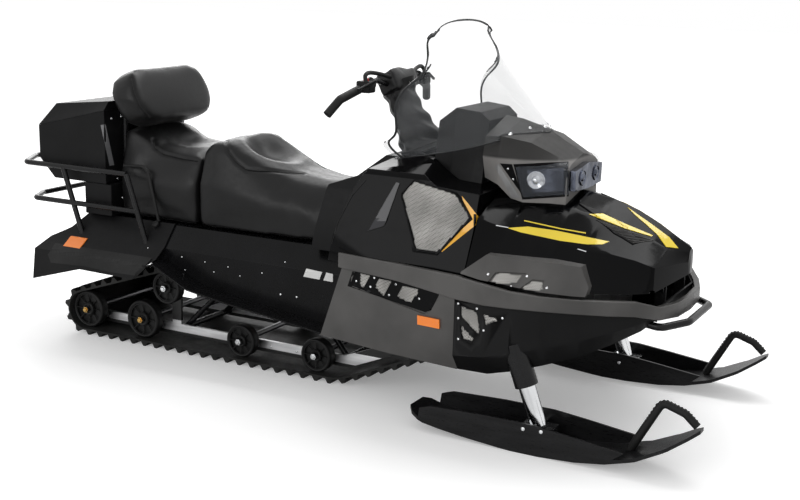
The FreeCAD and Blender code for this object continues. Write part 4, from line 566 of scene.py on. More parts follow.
def turned_profile(name, profile, count):
    """A part turned about Z from (radius, height) pairs, outside from the foot to the top."""
    mesh = bpy.data.meshes.new(name)
    with edited(mesh) as form:
        rings = [circle(form, radius, height, count if radius else 1)
                 for radius, height in profile]
        for low, high in zip(rings, rings[1:]):
            for k in range(count):
                after = (k + 1) % count
                ring = [low[k % len(low)], low[after % len(low)], high[after % len(high)],
                        high[k % len(high)]]
                corners = list(dict.fromkeys(ring))
                if len(corners) > 2:
                    form.faces.new(corners)
        bmesh.ops.recalc_face_normals(form, faces=form.faces)
    shade(mesh, SMOOTH_TURNED)
    return mesh


def screw_head():
    """A domed screw head of unit radius with a socket."""
    return turned_profile("screw_head", [(1, 0), (1, 0.15), (0.86, 0.42), (0.6, 0.56),
                                         (0.42, 0.58), (0.38, 0.2), (0, 0.2)], 12)


def rounded_block(size, radius):
    """A block with rounded edges, for housings."""
    mesh = bpy.data.meshes.new("block")
    with edited(mesh) as form:
        bmesh.ops.create_cube(form, size=1.0)
        bmesh.ops.scale(form, vec=size, verts=form.verts)
        bmesh.ops.bevel(form, geom=form.edges[:], offset=radius, segments=3, affect="EDGES",
                        profile=0.5)
    shade(mesh, SMOOTH_PART)
    return mesh


# Things laid on a surface, by where the photograph shows them

def tree_of(*meshes):
    """A tree of the meshes' faces, for finding where a line meets them."""
    corners, faces = [], []
    for mesh in meshes:
        start = len(corners)
        corners.extend(vertex.co.copy() for vertex in mesh.vertices)
        faces.extend([start + index for index in face.vertices] for face in mesh.polygons)
    return BVHTree.FromPolygons(corners, faces)


def surface_of(*pieces):
    """A tree of the faces of pieces."""
    return tree_of(*(bpy.data.objects[piece].data for piece in pieces))


def surface_of_node(*nodes):
    """A tree of the faces of the frame's own nodes."""
    return tree_of(*(NODES[node].data for node in nodes))


def camera_axes():
    """The camera's right, up and back directions."""
    stage = bpy.context.scene.snowmobile_stage
    azimuth, elevation, roll = stage.azimuth, stage.elevation, stage.roll
    back = Vector((math.sin(azimuth) * math.cos(elevation),
                   -math.cos(azimuth) * math.cos(elevation), math.sin(elevation)))
    right = (-back).cross(UP).normalized()
    up = right.cross(-back)
    turned_right = right * math.cos(roll) + up * math.sin(roll)
    turned_up = up * math.cos(roll) - right * math.sin(roll)
    return turned_right, turned_up, back


def photo_line(pixel):
    """The line of sight through a pixel of the photograph."""
    stage = bpy.context.scene.snowmobile_stage
    right, up, back = camera_axes()
    across = (pixel[0] - PHOTO_WIDTH / 2) / stage.focal_pixels
    rise = (PHOTO_HEIGHT / 2 - pixel[1]) / stage.focal_pixels
    return Vector(stage.place), (right * across + up * rise - back).normalized()


# Where a line of sight that misses looks for the nearest surface, in metres from the camera
SEARCH_STEPS = [k / 100 for k in range(300, 800)]


def seen_at(tree, pixel):
    """Where the line of sight through a pixel meets a surface, and that surface's normal."""
    start, direction = photo_line(pixel)
    place, normal, _, _ = tree.ray_cast(start, direction)
    if place is None:
        nearest = [tree.find_nearest(start + direction * step) for step in SEARCH_STEPS]
        place, normal, _, _ = min(nearest, key=lambda found: found[3])
    if normal.dot(direction) > 0:
        normal = -normal
    return place, normal


# How far a normal leans before it has a level direction of its own
LEAST_LEAN = 0.01


def along_of(normal):
    """Any direction square to a normal, as level as can be."""
    side = UP.cross(normal)
    return side.normalized() if side.length > LEAST_LEAN else AHEAD


def seat_at(tree, pixel):
    """The place, facing and along directions of a part that is set where a pixel shows it."""
    place, normal = seen_at(tree, pixel)
    return place, normal, along_of(normal)


def dense_line(line, steps):
    """A line of pixels with each of its spans divided."""
    dense = [Vector(start).lerp(Vector(end), k / steps)
             for start, end in zip(line, line[1:]) for k in range(steps)]
    return dense + [Vector(line[-1])]


# The distance in pixels within which a cut takes a corner as lying on it
CUT_REACH = 1e-5


def divided(form, step):
    """Cuts flat faces along level and upright lines, a step apart."""
    for axis in (0, 1):
        places = [vertex.co[axis] for vertex in form.verts]
        line, last = min(places) + step, max(places)
        while line < last:
            place, normal = Vector((0, 0, 0)), Vector((0, 0, 0))
            place[axis], normal[axis] = line, 1
            bmesh.ops.bisect_plane(form, geom=form.verts[:] + form.edges[:] + form.faces[:],
                                   plane_co=place, plane_no=normal, dist=CUT_REACH)
            line += step


def thickened(form, seen, sink):
    """Gives laid faces a back, sunk from the surface, and walls round their edge."""
    top = form.faces[:]
    base = bmesh.ops.duplicate(form, geom=form.verts[:] + form.edges[:] + top)
    pairs = base["vert_map"]
    for vertex, (place, normal) in seen.items():
        pairs[vertex].co = place - normal * sink
    bmesh.ops.reverse_faces(form, faces=faces_in(base["geom"]))
    for edge in [edge for face in top for edge in face.edges if len(edge.link_faces) == 1]:
        loop = next(loop for loop in edge.link_faces[0].loops if loop.edge == edge)
        first, second = loop.vert, loop.link_loop_next.vert
        form.faces.new((second, first, pairs[first], pairs[second]))


def patch(name, outlines, targets, body, slot, material=None, lift=0.6 * MM, depth=0.5 * MM,
          sides=BOTH, step=3.0):
    """Thin plates that follow a surface, cut to outlines of pixels, on one or both sides."""
    tree = surface_of(*targets)
    camera = Vector(bpy.context.scene.snowmobile_stage.place)
    mesh = bpy.data.meshes.new(name)
    with edited(mesh) as form:
        for outline in outlines:
            form.faces.new([form.verts.new((x, y, 0)) for x, y in outline])
        divided(form, step)
        seen = {vertex: seen_at(tree, vertex.co) for vertex in form.verts}
        for vertex, (place, normal) in seen.items():
            vertex.co = place + normal * lift
        for face in form.faces:
            face.normal_update()
            if face.normal.dot(camera - face.calc_center_median()) < 0:
                face.normal_flip()
        thickened(form, seen, depth - lift)
    return add_piece(name, mirrored_mesh(mesh, sides), body, slot, material)


def beads(name, lines, targets, body, slot, material, radius, lift):
    """Thin beads on a surface below lines of pixels, on both sides."""
    tree = surface_of(*targets)
    tubes = []
    for line in lines:
        seen = [seen_at(tree, pixel) for pixel in dense_line(line, 4)]
        tubes.append(tube_mesh("bead", [place + normal * lift for place, normal in seen],
                               radius, 6))
    return add_piece(name, mirrored_mesh(join_meshes(name, tubes)), body, slot, material,
                     smooth=SMOOTH_TUBE)


# Geometry Nodes that put one small part at many places, or a bead along edges

def node_group(name, **inputs):
    """A Geometry Nodes tree with named inputs, and the sockets that they come from."""
    tree = bpy.data.node_groups.new(name, "GeometryNodeTree")
    for socket, kind in {"Geometry": "Geometry", **inputs}.items():
        tree.interface.new_socket(socket, in_out="INPUT", socket_type="NodeSocket" + kind)
    tree.interface.new_socket("Geometry", in_out="OUTPUT", socket_type="NodeSocketGeometry")
    return tree, tree.nodes.new("NodeGroupInput").outputs


def end_group(tree, geometry, finish):
    """Ends a tree with its instances made real and its material set."""
    real = add_node(tree, "GeometryNodeRealizeInstances", {"Geometry": geometry})
    painted = add_node(tree, "GeometryNodeSetMaterial",
                       {"Geometry": real.outputs["Geometry"], "Material": finish})
    add_node(tree, "NodeGroupOutput", {"Geometry": painted.outputs["Geometry"]})
    return tree


def attribute_of(tree, name, kind):
    """A named attribute of the points."""
    return add_node(tree, "GeometryNodeInputNamedAttribute", data_type=kind,
                    Name=name).outputs["Attribute"]


def repeat_tree():
    """Sets a part on every point, turned by the point's facing and along directions."""
    tree, given = node_group("repeat_on_points", Part="Object", Size="Float", Finish="Material")
    part = add_node(tree, "GeometryNodeObjectInfo", {"Object": given["Part"]})
    turn = add_node(tree, "FunctionNodeAxesToRotation", {
        "Primary Axis": attribute_of(tree, "facing", "FLOAT_VECTOR"),
        "Secondary Axis": attribute_of(tree, "along", "FLOAT_VECTOR"),
    }, primary_axis="Z", secondary_axis="X")
    scale = add_node(tree, "ShaderNodeMath", {0: attribute_of(tree, "share", "FLOAT"),
                                              1: given["Size"]}, operation="MULTIPLY")
    place = add_node(tree, "GeometryNodeInstanceOnPoints", {
        "Points": given["Geometry"], "Instance": part.outputs["Geometry"],
        "Rotation": turn.outputs["Rotation"], "Scale": scale.outputs[0]})
    return end_group(tree, place.outputs["Instances"], given["Finish"])


def bead_tree():
    """Sweeps a round bead along the edges that it is given."""
    tree, given = node_group("bead_on_edges", Radius="Float", Finish="Material")
    line = add_node(tree, "GeometryNodeMeshToCurve", {"Mesh": given["Geometry"]})
    ring = add_node(tree, "GeometryNodeCurvePrimitiveCircle", {"Radius": given["Radius"]},
                    Resolution=8)
    swept = add_node(tree, "GeometryNodeCurveToMesh", {
        "Curve": line.outputs["Curve"], "Profile Curve": ring.outputs["Curve"]}, Fill_Caps=True)
    return end_group(tree, swept.outputs["Mesh"], given["Finish"])


def run_group(name, mesh, tree, **inputs):
    """A mesh put through a Geometry Nodes tree and turned into a plain mesh."""
    carrier = in_scene(name + "_carrier", mesh)
    modifier = carrier.modifiers.new(tree.name, "NODES")
    modifier.node_group = tree
    for socket in tree.interface.items_tree:
        if socket.in_out == "INPUT" and socket.name in inputs:
            modifier[socket.identifier] = inputs[socket.name]
    carrier.update_tag()
    bpy.context.view_layer.update()
    result = plain_mesh(carrier)
    result.name = name
    return result


def repeated(name, part, places, body, slot, material=None, size=1.0, sides=BOTH, smooth=None):
    """Repeats a small mesh at (place, facing, along[, share]) and joins the copies to one piece."""
    everywhere = []
    for place, facing, along, *share in places:
        where = [Vector(place), Vector(facing), Vector(along)]
        share = share[0] if share else 1.0
        everywhere.append((*where, share))
        if LEFT in sides:
            everywhere.append((*(item * MIRROR for item in where), share))
    mesh = bpy.data.meshes.new(name + "_points")
    mesh.from_pydata([item[0] for item in everywhere], [], [])
    for attribute, index in (("facing", 1), ("along", 2)):
        layer = mesh.attributes.new(attribute, "FLOAT_VECTOR", "POINT")
        layer.data.foreach_set("vector", [c for item in everywhere for c in item[index]])
    layer = mesh.attributes.new("share", "FLOAT", "POINT")
    layer.data.foreach_set("value", [item[3] for item in everywhere])
    pattern = in_scene(name + "_part", part)
    tree = bpy.data.node_groups.get("repeat_on_points") or repeat_tree()
    joined = run_group(name, mesh, tree, Part=pattern, Size=float(size),
                       Finish=FINISHES[material or slot])
    bpy.data.objects.remove(pattern)
    return add_piece(name, joined, body, slot, material, smooth=smooth)


def screws_at(name, pixels, targets, body, radius=5.0 * MM):
    """Screw heads where the photograph shows them, on both sides."""
    tree = surface_of(*targets)
    return repeated(name, screw_head(), [seat_at(tree, pixel) for pixel in pixels], body, "steel",
                    "zinc", radius)


# The shortest step along a bead, in radii of the bead
BEAD_STEP = 0.7


def bead_along(name, mesh, crease, radius, body, slot, material):
    """A bead along a mesh's sharp edges."""
    form = bmesh.new()
    form.from_mesh(mesh)
    sharp = [tuple(corner.index for corner in edge.verts) for edge in form.edges
             if len(edge.link_faces) == 2 and edge.calc_face_angle(0.0) > crease]
    form.free()
    used = {index: place for place, index in enumerate(sorted({i for pair in sharp for i in pair}))}
    lines = bpy.data.meshes.new(name + "_lines")
    lines.from_pydata([mesh.vertices[index].co.copy() for index in used],
                      [(used[a], used[b]) for a, b in sharp], [])
    with edited(lines) as form:
        bmesh.ops.remove_doubles(form, verts=form.verts, dist=radius * BEAD_STEP)
    swept = run_group(name, lines, bead_tree(), Radius=float(radius), Finish=FINISHES[material])
    return add_piece(name, swept, body, slot, material, smooth=SMOOTH_TUBE)


def hexagon_ring():
    """One cell of a perforated sheet: a hexagon of unit reach with a hole."""
    mesh = bpy.data.meshes.new("hexagon_ring")
    with edited(mesh) as form:
        loops = [circle(form, reach, height, 6)
                 for reach, height in ((1.0, 0.0), (0.66, 0.08), (0.60, -0.25))]
        for outer, inner in zip(loops, loops[1:]):
            for k in range(6):
                after = (k + 1) % 6
                form.faces.new((outer[k], outer[after], inner[after], inner[k]))
    return mesh


def inside(point, outline):
    """Whether a flat point lies inside an outline."""
    found = False
    for (ax, ay), (bx, by) in zip(outline, outline[1:] + outline[:1]):
        if (ay > point[1]) != (by > point[1]):
            if point[0] < (bx - ax) * (point[1] - ay) / (by - ay) + ax:
                found = not found
    return found


# How far above its surface a perforated sheet lies
SHEET_LIFT = 1.2 * MM
# The distance between rows of hexagons, in distances along a row
ROW_PITCH = 0.866
# How far outside its window a hexagon starts to look for the surface
SHEET_START = 0.1


def perforated(name, outlines, targets, body, pitch):
    """Perforated sheets over windows whose outlines are given in pixels, on both sides."""
    tree = surface_of(*targets)
    row_pitch = pitch * ROW_PITCH
    places = []
    for outline in outlines:
        seen = [seen_at(tree, pixel) for pixel in outline]
        middle = sum((place for place, _ in seen), Vector()) / len(seen)
        normal = sum((n for _, n in seen), Vector()).normalized()
        across = along_of(normal)
        upward = normal.cross(across)
        flat = [((place - middle).dot(across), (place - middle).dot(upward)) for place, _ in seen]
        reach = max(max(abs(u), abs(v)) for u, v in flat)
        rows, columns = int(reach / row_pitch) + 1, int(reach / pitch) + 1
        for row in range(-rows, rows + 1):
            for column in range(-columns, columns + 1):
                u, v = (column + (row % 2) / 2) * pitch, row * row_pitch
                if not inside((u, v), flat):
                    continue
                start = middle + across * u + upward * v + normal * SHEET_START
                place, found, _, _ = tree.ray_cast(start, -normal)
                if place is None:
                    continue
                found = found if found.dot(normal) > 0 else -found
                places.append((place + found * SHEET_LIFT, found, upward))
    return repeated(name, hexagon_ring(), places, body, "mesh_grey", None, pitch / math.sqrt(3))


# Operators, one for each group of pieces

class SNOWMOBILE_OT_finishes(bpy.types.Operator):
    """Makes the finishes"""
    bl_idname = "snowmobile.finishes"
    bl_label = "Finishes"

    def execute(self, context):
        FINISHES.update(make_finishes(context.scene.snowmobile_paint))
        return {"FINISHED"}


# The panels that are rounded: the width of the rounding in millimetres, and the slot
PANELS = {
    "hood": (5.0, "gloss_black"), "console": (5.0, "gloss_black"), "lamp_pod": (8.0, "charcoal"),
    "side_panels": (4.0, "charcoal"), "bumper_band": (9.0, "band_grey"),
    "belly_pan": (9.0, "satin_black"), "hood_vents": (1.5, "satin_black"),
    "side_scoops": (6.0, "charcoal"), "dashboard": (9.0, "charcoal"),
    "tank_cover": (4.0, "satin_black"), "tunnel": (1.5, "painted_black"),
    "running_boards": (1.5, "painted_black"), "slide_rails": (1.5, "alloy"),
    "ski_right": (2.0, "ski_black"), "ski_left": (2.0, "ski_black"),
    "strut_right": (1.0, "zinc"), "strut_left": (1.0, "zinc"), "strut_sleeves": (2.0, "black_tube"),
    "trunk_box": (8.0, "satin_black"), "trunk_lid": (8.0, "satin_black"),
    "rear_fender": (3.0, "satin_black"), "rear_tank": (5.0, "satin_black"),
    "tow_hitch": (1.0, "black_tube"), "tail_lamp": (1.5, "red_lens"),
    "reflectors": (1.0, "orange_lens"), "headlamp_lens": (1.0, "clear_lens"),
    "handlebar_controls": (1.5, "satin_black"),
    "hex_grilles": (0.6, "mesh_grey"),
}
# Panels whose look is another one than their slot's
OWN_FINISH = {"hex_grilles": "gloss_black", "slide_rails": "rail",
              "headlamp_lens": "dark_chrome", "dashboard": "satin_black",
              "lamp_pod": "pod_grey"}


class SNOWMOBILE_OT_panels(bpy.types.Operator):
    """Rounds the panels' edges and gives them their finish"""
    bl_idname = "snowmobile.panels"
    bl_label = "Panels"

    def execute(self, context):
        for node, (width, slot) in PANELS.items():
            rounded_node(node, width * MM, slot, OWN_FINISH.get(node))
        return {"FINISHED"}


CARRIED = {
    "axles": "steel", "engine_block": "cast_grey", "front_bumper": "black_tube",
    "rack_frame": "black_tube", "grab_straps": "black_rubber", "handlebar": "black_tube",
    "handlebar_grips": "black_rubber",
    "road_wheels": "wheel_black", "shock_absorber": "steel",
    "ski_loop_right": "black_rubber", "ski_loop_left": "black_rubber",
    "suspension_arms": "black_tube", "track": "track_rubber",
}


class SNOWMOBILE_OT_carried(bpy.types.Operator):
    """Gives the nodes that keep their own mesh a finish"""
    bl_idname = "snowmobile.carried"
    bl_label = "Frame and running gear"

    def execute(self, context):
        for node, material in CARRIED.items():
            paint(NODES[node].data, material)
            NODES[node].data.shade_smooth()
        return {"FINISHED"}


# Padded pieces: a pad is remeshed from its solid, swelled by simulation and then given seams

# How far a pad's solid is drawn in before it is swelled
PAD_INSET = 5 * MM
# How much a pad's cover resists being stretched or pressed together
COVER_STIFFNESS = 20


def remeshed(node, voxel, inset):
    """The node's form as an even mesh, drawn in by inset."""
    edges = bpy.context.scene.snowmobile_edges
    mesh = applied(solid_copy(node, edges.weld), ("REMESH", {"mode": "VOXEL",
                                                             "voxel_size": voxel}))
    sculpted(mesh, lambda point, normal: -normal * inset)
    return applied(mesh, ("SMOOTH", {"factor": 0.5, "iterations": 6}))


def swelled(mesh, soft):
    """Blows the mesh up with cloth pressure, and caps how far a point moves."""
    rest = [vertex.co.copy() for vertex in mesh.vertices]
    carrier = in_scene("pad", mesh)
    cloth = carrier.modifiers.new("cloth", "CLOTH")
    cloth.settings.use_pressure = True
    cloth.settings.uniform_pressure_force = soft.pressure
    cloth.settings.effector_weights.gravity = 0
    cloth.settings.tension_stiffness = COVER_STIFFNESS
    cloth.settings.compression_stiffness = COVER_STIFFNESS
    cloth.collision_settings.use_collision = False
    scene = bpy.context.scene
    for step in range(1, soft.frames + 1):
        scene.frame_set(step)
    blown = plain_mesh(carrier)
    scene.frame_set(1)
    for vertex, start in zip(blown.vertices, rest):
        move = vertex.co - start
        if move.length > soft.swell:
            vertex.co = start + move.normalized() * soft.swell
    return blown


def sculpted(mesh, shape):
    """Moves each point by what shape(point, normal) gives."""
    with edited(mesh) as form:
        form.normal_update()
        moves = [shape(vertex.co.copy(), vertex.normal.copy()) for vertex in form.verts]
        for vertex, move in zip(form.verts, moves):
            vertex.co += move
    return mesh


def bowl(point, centre, reach):
    """1 at a centre, falling smoothly to 0 at the reach along each axis."""
    share = sum(((point[axis] - centre[axis]) / reach[axis]) ** 2 for axis in range(3))
    return max(0.0, 1 - share) ** 2


def groove(point, line, width):
    """1 on a seam's line of points, falling to 0 at its width."""
    best = width
    for start, end in zip(line, line[1:]):
        run = end - start
        share = max(0.0, min(1.0, (point - start).dot(run) / run.length_squared))
        best = min(best, (point - start - run * share).length)
    return max(0.0, 1 - best / width)


def refitted(mesh, node, spare):
    """Stretches a smoothed pad back to the outer size of its solid, with some spare."""
    low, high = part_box(node)
    corners = np.array([vertex.co for vertex in mesh.vertices])
    first, last = corners.min(axis=0), corners.max(axis=0)
    low, high = np.array(low) - np.array(spare), np.array(high) + np.array(spare)
    placed = low + (corners - first) / (last - first) * (high - low)
    mesh.vertices.foreach_set("co", placed.ravel())
    return mesh


def seam_lines(mesh, seams):
    """Lines on the pad below lines of pixels, and their mirror images."""
    tree = tree_of(mesh)
    lines = []
    for seam in seams:
        right = [seen_at(tree, pixel)[0] for pixel in dense_line(seam, 6)]
        lines += [right, [point * MIRROR for point in right]]
    return lines


def pad_piece(node, shape, seams, softness, spare=(0.0, 0.0, 0.0), seam_depth=5.0 * MM,
              seam_width=16 * MM, piping=1.7 * MM):
    """A padded piece in place of its solid, with sculpted hollows, sunk seams and piping."""
    soft = bpy.context.scene.snowmobile_soft
    mesh = swelled(remeshed(node, soft.voxel, PAD_INSET), soft)
    mesh = applied(mesh, ("SMOOTH", {"factor": 0.6, "iterations": softness}))
    mesh = sculpted(refitted(mesh, node, spare), shape)
    mesh = applied(mesh, ("SUBSURF", {"levels": 1, "render_levels": 1}))
    lines = seam_lines(mesh, seams)
    mesh = sculpted(mesh, lambda point, normal: -normal * seam_depth
                    * max([groove(point, line, seam_width) for line in lines] or [0.0]))
    piece = add_piece(node + "_cover", mesh, body_of(node), "black_vinyl", None, (node,))
    mesh.shade_smooth()
    if lines:
        sink = UP * (seam_depth * 0.4)
        stitches = [tube_mesh("piping", [point - sink for point in line[::3]], piping, 6)
                    for line in lines]
        add_piece(node + "_piping", join_meshes(node + "_piping", stitches), body_of(node),
                  "black_vinyl", "black_rubber", smooth=SMOOTH_TUBE)
    return piece


# The seams as lines of pixels of the photograph
DRIVER_SEAMS = (((226.0, 138.0), (227.6, 150.0), (236.0, 161.0), (247.0, 169.5), (275.4, 171.0),
                 (304.0, 173.5)),)
PASSENGER_SEAMS = (((153.5, 139.0), (155.0, 147.0), (163.0, 153.5), (180.0, 157.5),
                    (197.3, 160.4)),)
BACKREST_SEAMS = (((131.5, 78.0), (134.0, 92.0), (140.0, 106.0), (149.0, 116.0)),)

# The seats' hollows: how far a hollow moves the middle, where the middle lies, and its reach
DRIVER_HOLLOWS = (((-0.030, 0, -0.055), (-0.42, 0, 0.90), (0.17, 0.15, 0.14)),
                  ((0, 0, -0.016), (-0.10, 0, 0.86), (0.28, 0.13, 0.12)))
PASSENGER_HOLLOWS = (((-0.012, 0, -0.030), (-0.84, 0, 0.92), (0.16, 0.15, 0.14)),
                     ((-0.018, 0, 0), (-0.98, 0, 0.98), (0.12, 0.18, 0.12)))


def hollowed(hollows):
    """How a seat's points move for its hollows."""
    def shape(point, _normal):
        """Sinks a point by every hollow that reaches it."""
        moves = [Vector(push) * bowl(point, centre, reach) for push, centre, reach in hollows]
        return sum(moves, Vector())

    return shape


class SNOWMOBILE_OT_seats(bpy.types.Operator):
    """Makes the driver's and the passenger's seat with their hollows and seams"""
    bl_idname = "snowmobile.seats"
    bl_label = "Seats"

    def execute(self, context):
        pad_piece("driver_seat", hollowed(DRIVER_HOLLOWS), DRIVER_SEAMS,
                  softness=14)
        pad_piece("passenger_seat", hollowed(PASSENGER_HOLLOWS), PASSENGER_SEAMS,
                  softness=14)
        return {"FINISHED"}


# The backrest: how much it narrows to its foot and top, and how full its front is
NARROW_FOOT, NARROW_TOP, BELLY = 0.10, 0.05, 0.018
# How far the finished backrest may stand proud of its solid on each side
BACKREST_SPARE = (0.012, 0.012, 0.008)


class SNOWMOBILE_OT_backrest(bpy.types.Operator):
    """Makes the padded backrest, fuller at its top and drawn in below"""
    bl_idname = "snowmobile.backrest"
    bl_label = "Backrest"

    def execute(self, context):
        low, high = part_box("backrest_pad")
        middle, half = (low + high) / 2, (high - low) / 2

        def shape(point, normal):
            """Narrows the pad to its ends and fills its front."""
            across = (point.y - middle.y) / half.y
            rise = (point.z - middle.z) / half.z
            narrow = NARROW_FOOT * max(0.0, -rise) + NARROW_TOP * max(0.0, rise)
            belly = BELLY * (1 - across * across) * (1 - rise * rise)
            return Vector((belly if normal.x > 0.3 else 0.0, -across * half.y * narrow, 0))

        pad_piece("backrest_pad", shape, BACKREST_SEAMS, softness=16,
                  spare=BACKREST_SPARE, seam_depth=3.0 * MM, seam_width=11 * MM)
        return {"FINISHED"}


# The boot round the steering column: its rings, the sides of a ring, and its axis
BOOT_RINGS, BOOT_SIDES = 60, 72
BOOT_FOOT_X, BOOT_SINK, BOOT_HEAD = 0.322, 0.004, Vector((0.196, 0, 1.215))
# The boot's mean radius, how much that changes along it, and how far its foot flares
BOOT_REACH, BOOT_WAIST, BOOT_FLARE = 0.072, 0.014, 0.012
# The folds' heights: three along the boot, rings round it, and small ones between them
LONG_FOLD, RING_FOLD, SMALL_FOLD = 0.0050, 0.0040, 0.0030
# The ring that the boot's flange follows
FLANGE_RING = 4


def boot_reach(share, turn):
    """The boot's radius at a share of its height and a turn about its axis."""
    waist = BOOT_REACH + BOOT_WAIST * math.cos(share * math.tau * 0.75)
    flare = BOOT_FLARE * max(0.0, 1 - share * 12)
    fold = (LONG_FOLD * math.sin(3 * turn + 5.0 * share)
            + RING_FOLD * math.sin(27 * share + 2.4 * math.sin(2 * turn + 1.0))
            + SMALL_FOLD * math.sin(8 * turn + 11 * share + 2 * math.sin(5 * share)))
    fade = min(1.0, share * 7, (1 - share) * 9)
    box = 1 + 0.06 * math.cos(2 * turn) + 0.03 * math.cos(4 * turn)
    return (waist + flare + fold * fade) * box


class SNOWMOBILE_OT_boot(bpy.types.Operator):
    """Makes the folded vinyl boot round the steering column"""
    bl_idname = "snowmobile.boot"
    bl_label = "Column boot"

    def execute(self, context):
        low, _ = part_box("handlebar_boot")
        foot = Vector((BOOT_FOOT_X, 0, low.z - BOOT_SINK))
        rise = BOOT_HEAD - foot
        ahead = ACROSS.cross(rise).normalized()
        mesh = bpy.data.meshes.new("column_boot")
        rings = []
        with edited(mesh) as form:
            for ring in range(BOOT_RINGS + 1):
                share = ring / BOOT_RINGS
                turns = [math.tau * side / BOOT_SIDES for side in range(BOOT_SIDES)]
                rings.append([foot + rise * share + (ahead * math.cos(turn)
                              + ACROSS * math.sin(turn)) * boot_reach(share, turn)
                              for turn in turns])
            corners = [[form.verts.new(place) for place in ring] for ring in rings]
            for lower, upper in zip(corners, corners[1:]):
                for side in range(BOOT_SIDES):
                    after = (side + 1) % BOOT_SIDES
                    form.faces.new((lower[side], lower[after], upper[after], upper[side]))
            for ring in (corners[0], corners[-1]):
                form.faces.new(ring)
            bmesh.ops.recalc_face_normals(form, faces=form.faces)
        add_piece("column_boot", mesh, "root", "black_rubber", "black_vinyl",
                  ("handlebar_boot",), smooth=SMOOTH_TUBE)
        flange = tube_mesh("boot_flange", rings[FLANGE_RING][::2], 4.0 * MM, 8, closed=True)
        add_piece("boot_flange", flange, "root", "black_rubber", smooth=SMOOTH_TUBE)
        return {"FINISHED"}


# How deep the creases of the handlebar's pad are
CREASE_DEPTH = 6 * MM


class SNOWMOBILE_OT_bar_pad(bpy.types.Operator):
    """Makes the soft crash pad on the handlebar"""
    bl_idname = "snowmobile.bar_pad"
    bl_label = "Handlebar pad"

    def execute(self, context):
        def shape(point, normal):
            """Gives the pad soft creases across its top."""
            return UP * (-CREASE_DEPTH * math.sin(point.x * 90 + point.y * 30) * abs(normal.z))

        pad_piece("handlebar_pad", shape, (), softness=5)
        return {"FINISHED"}


# Stripes, painted highlights on the hood's crease, labels, mesh windows and screws: outlines and
# places in pixels of the photograph

HOOD_STRIPES = (
    ((507.5, 228.0), (528.0, 226.6), (556.0, 230.6), (609.3, 241.6), (602.5, 244.4),
     (587.0, 244.4), (560.0, 240.8), (520.0, 232.2)),
)
HOOD_LINES = (
    ((524.2, 220.1), (560.0, 228.0), (585.8, 232.6), (585.8, 233.7), (560.0, 229.2), (524.2, 221.2)),
)
HOOD_UPPER_STRIPES = (
    ((588.9, 214.4), (602.7, 213.8), (625.0, 224.0), (652.7, 235.6), (651.5, 236.6), (625.0, 228.6),
     (597.4, 217.6)),
)
FAR_STRIPES = (
    ((627.5, 207.5), (640.0, 216.5), (646.0, 220.5), (655.0, 227.0), (669.3, 237.6),
     (678.2, 248.4), (666.0, 247.0), (657.0, 234.5), (646.0, 224.5), (636.0, 216.0)),
)
CREASE_HIGHLIGHTS = (
    ((496.0, 225.0), (508.4, 227.2), (508.4, 228.0), (496.0, 225.8)),
    ((577.8, 248.6), (586.3, 251.2), (586.0, 252.0), (577.5, 249.4)),
)
CHEVRON = (
    ((461.8, 195.9), (467.7, 202.9), (480.2, 219.1), (478.8, 222.6), (442.0, 252.0),
     (440.4, 248.6), (473.0, 219.3), (463.2, 201.0)),
)
LABELS = (
    ((306.6, 268.9), (322.4, 272.4), (319.6, 279.5), (303.7, 276.4)),
    ((326.6, 272.9), (333.2, 274.3), (333.2, 282.0), (323.8, 280.2)),
)
REAR_STRIPS = (
    ((100.8, 125.0), (105.2, 124.4), (114.0, 165.0), (109.6, 165.7)),
)


class SNOWMOBILE_OT_stripes(bpy.types.Operator):
    """Lays the stripes and the painted crease highlights on the hood, the chevrons on the console,
    the labels and the strips
    """
    bl_idname = "snowmobile.stripes"
    bl_label = "Stripes and labels"

    def execute(self, context):
        hood = ("hood_panel", "hood_vents_panel")
        patch("hood_stripes", HOOD_STRIPES, hood, "hood_body", "gloss_black", "stripe_yellow")
        patch("hood_lines", HOOD_LINES, hood, "hood_body", "gloss_black", "stripe_yellow")
        for name, outlines in (("hood_upper_stripes", HOOD_UPPER_STRIPES),
                               ("hood_ridge_stripes", FAR_STRIPES)):
            patch(name, outlines, hood, "hood_body", "gloss_black", "stripe_yellow",
                  lift=2.0 * MM, depth=2.0 * MM, step=1.5)
        # Painted highlights along the hood's side crease
        patch("hood_white_lines", CREASE_HIGHLIGHTS, hood, "hood_body", "gloss_black", "stripe_white")
        patch("console_chevrons", CHEVRON, ("console_panel",), "root", "gloss_black",
              "stripe_amber")
        patch("side_labels", LABELS, ("tunnel_panel",), "root", "painted_black", "label_white",
              lift=3.0 * MM, depth=3.0 * MM, sides=(RIGHT,))
        patch("trunk_strips", REAR_STRIPS, ("trunk_box_panel",), "root", "satin_black",
              "strip_grey", lift=1.6 * MM, depth=1.5 * MM)
        return {"FINISHED"}


SIDE_MESH = (
    ((361.0, 274.4), (369.6, 276.2), (363.8, 288.2), (360.4, 284.0)),
    ((378.4, 279.4), (391.4, 281.2), (383.4, 295.4), (376.0, 287.4)),
    ((402.6, 285.6), (418.8, 289.6), (416.2, 295.0), (410.0, 302.6), (397.0, 296.0)),
)
BELLY_MESH = (
    ((460.9, 306.6), (477.0, 312.6), (479.4, 332.4), (477.0, 332.6), (461.6, 316.0)),
    ((461.2, 325.4), (473.4, 339.4), (472.4, 341.4), (463.0, 337.4)),
    ((483.6, 314.4), (498.2, 320.0), (486.4, 324.2)),
)
SCOOP_MESH = (
    ((496.5, 273.6), (503.8, 273.4), (521.6, 275.4), (516.9, 282.7), (504.9, 285.4), (490.5, 283.0)),
    ((533.3, 281.4), (542.4, 283.0), (542.6, 290.3), (532.9, 291.0), (520.0, 289.2)),
)
HEX_MESH = (
    ((414.2, 181.6), (455.0, 194.6), (469.0, 217.4), (437.6, 251.4), (416.4, 248.4), (402.6, 195.4)),
)
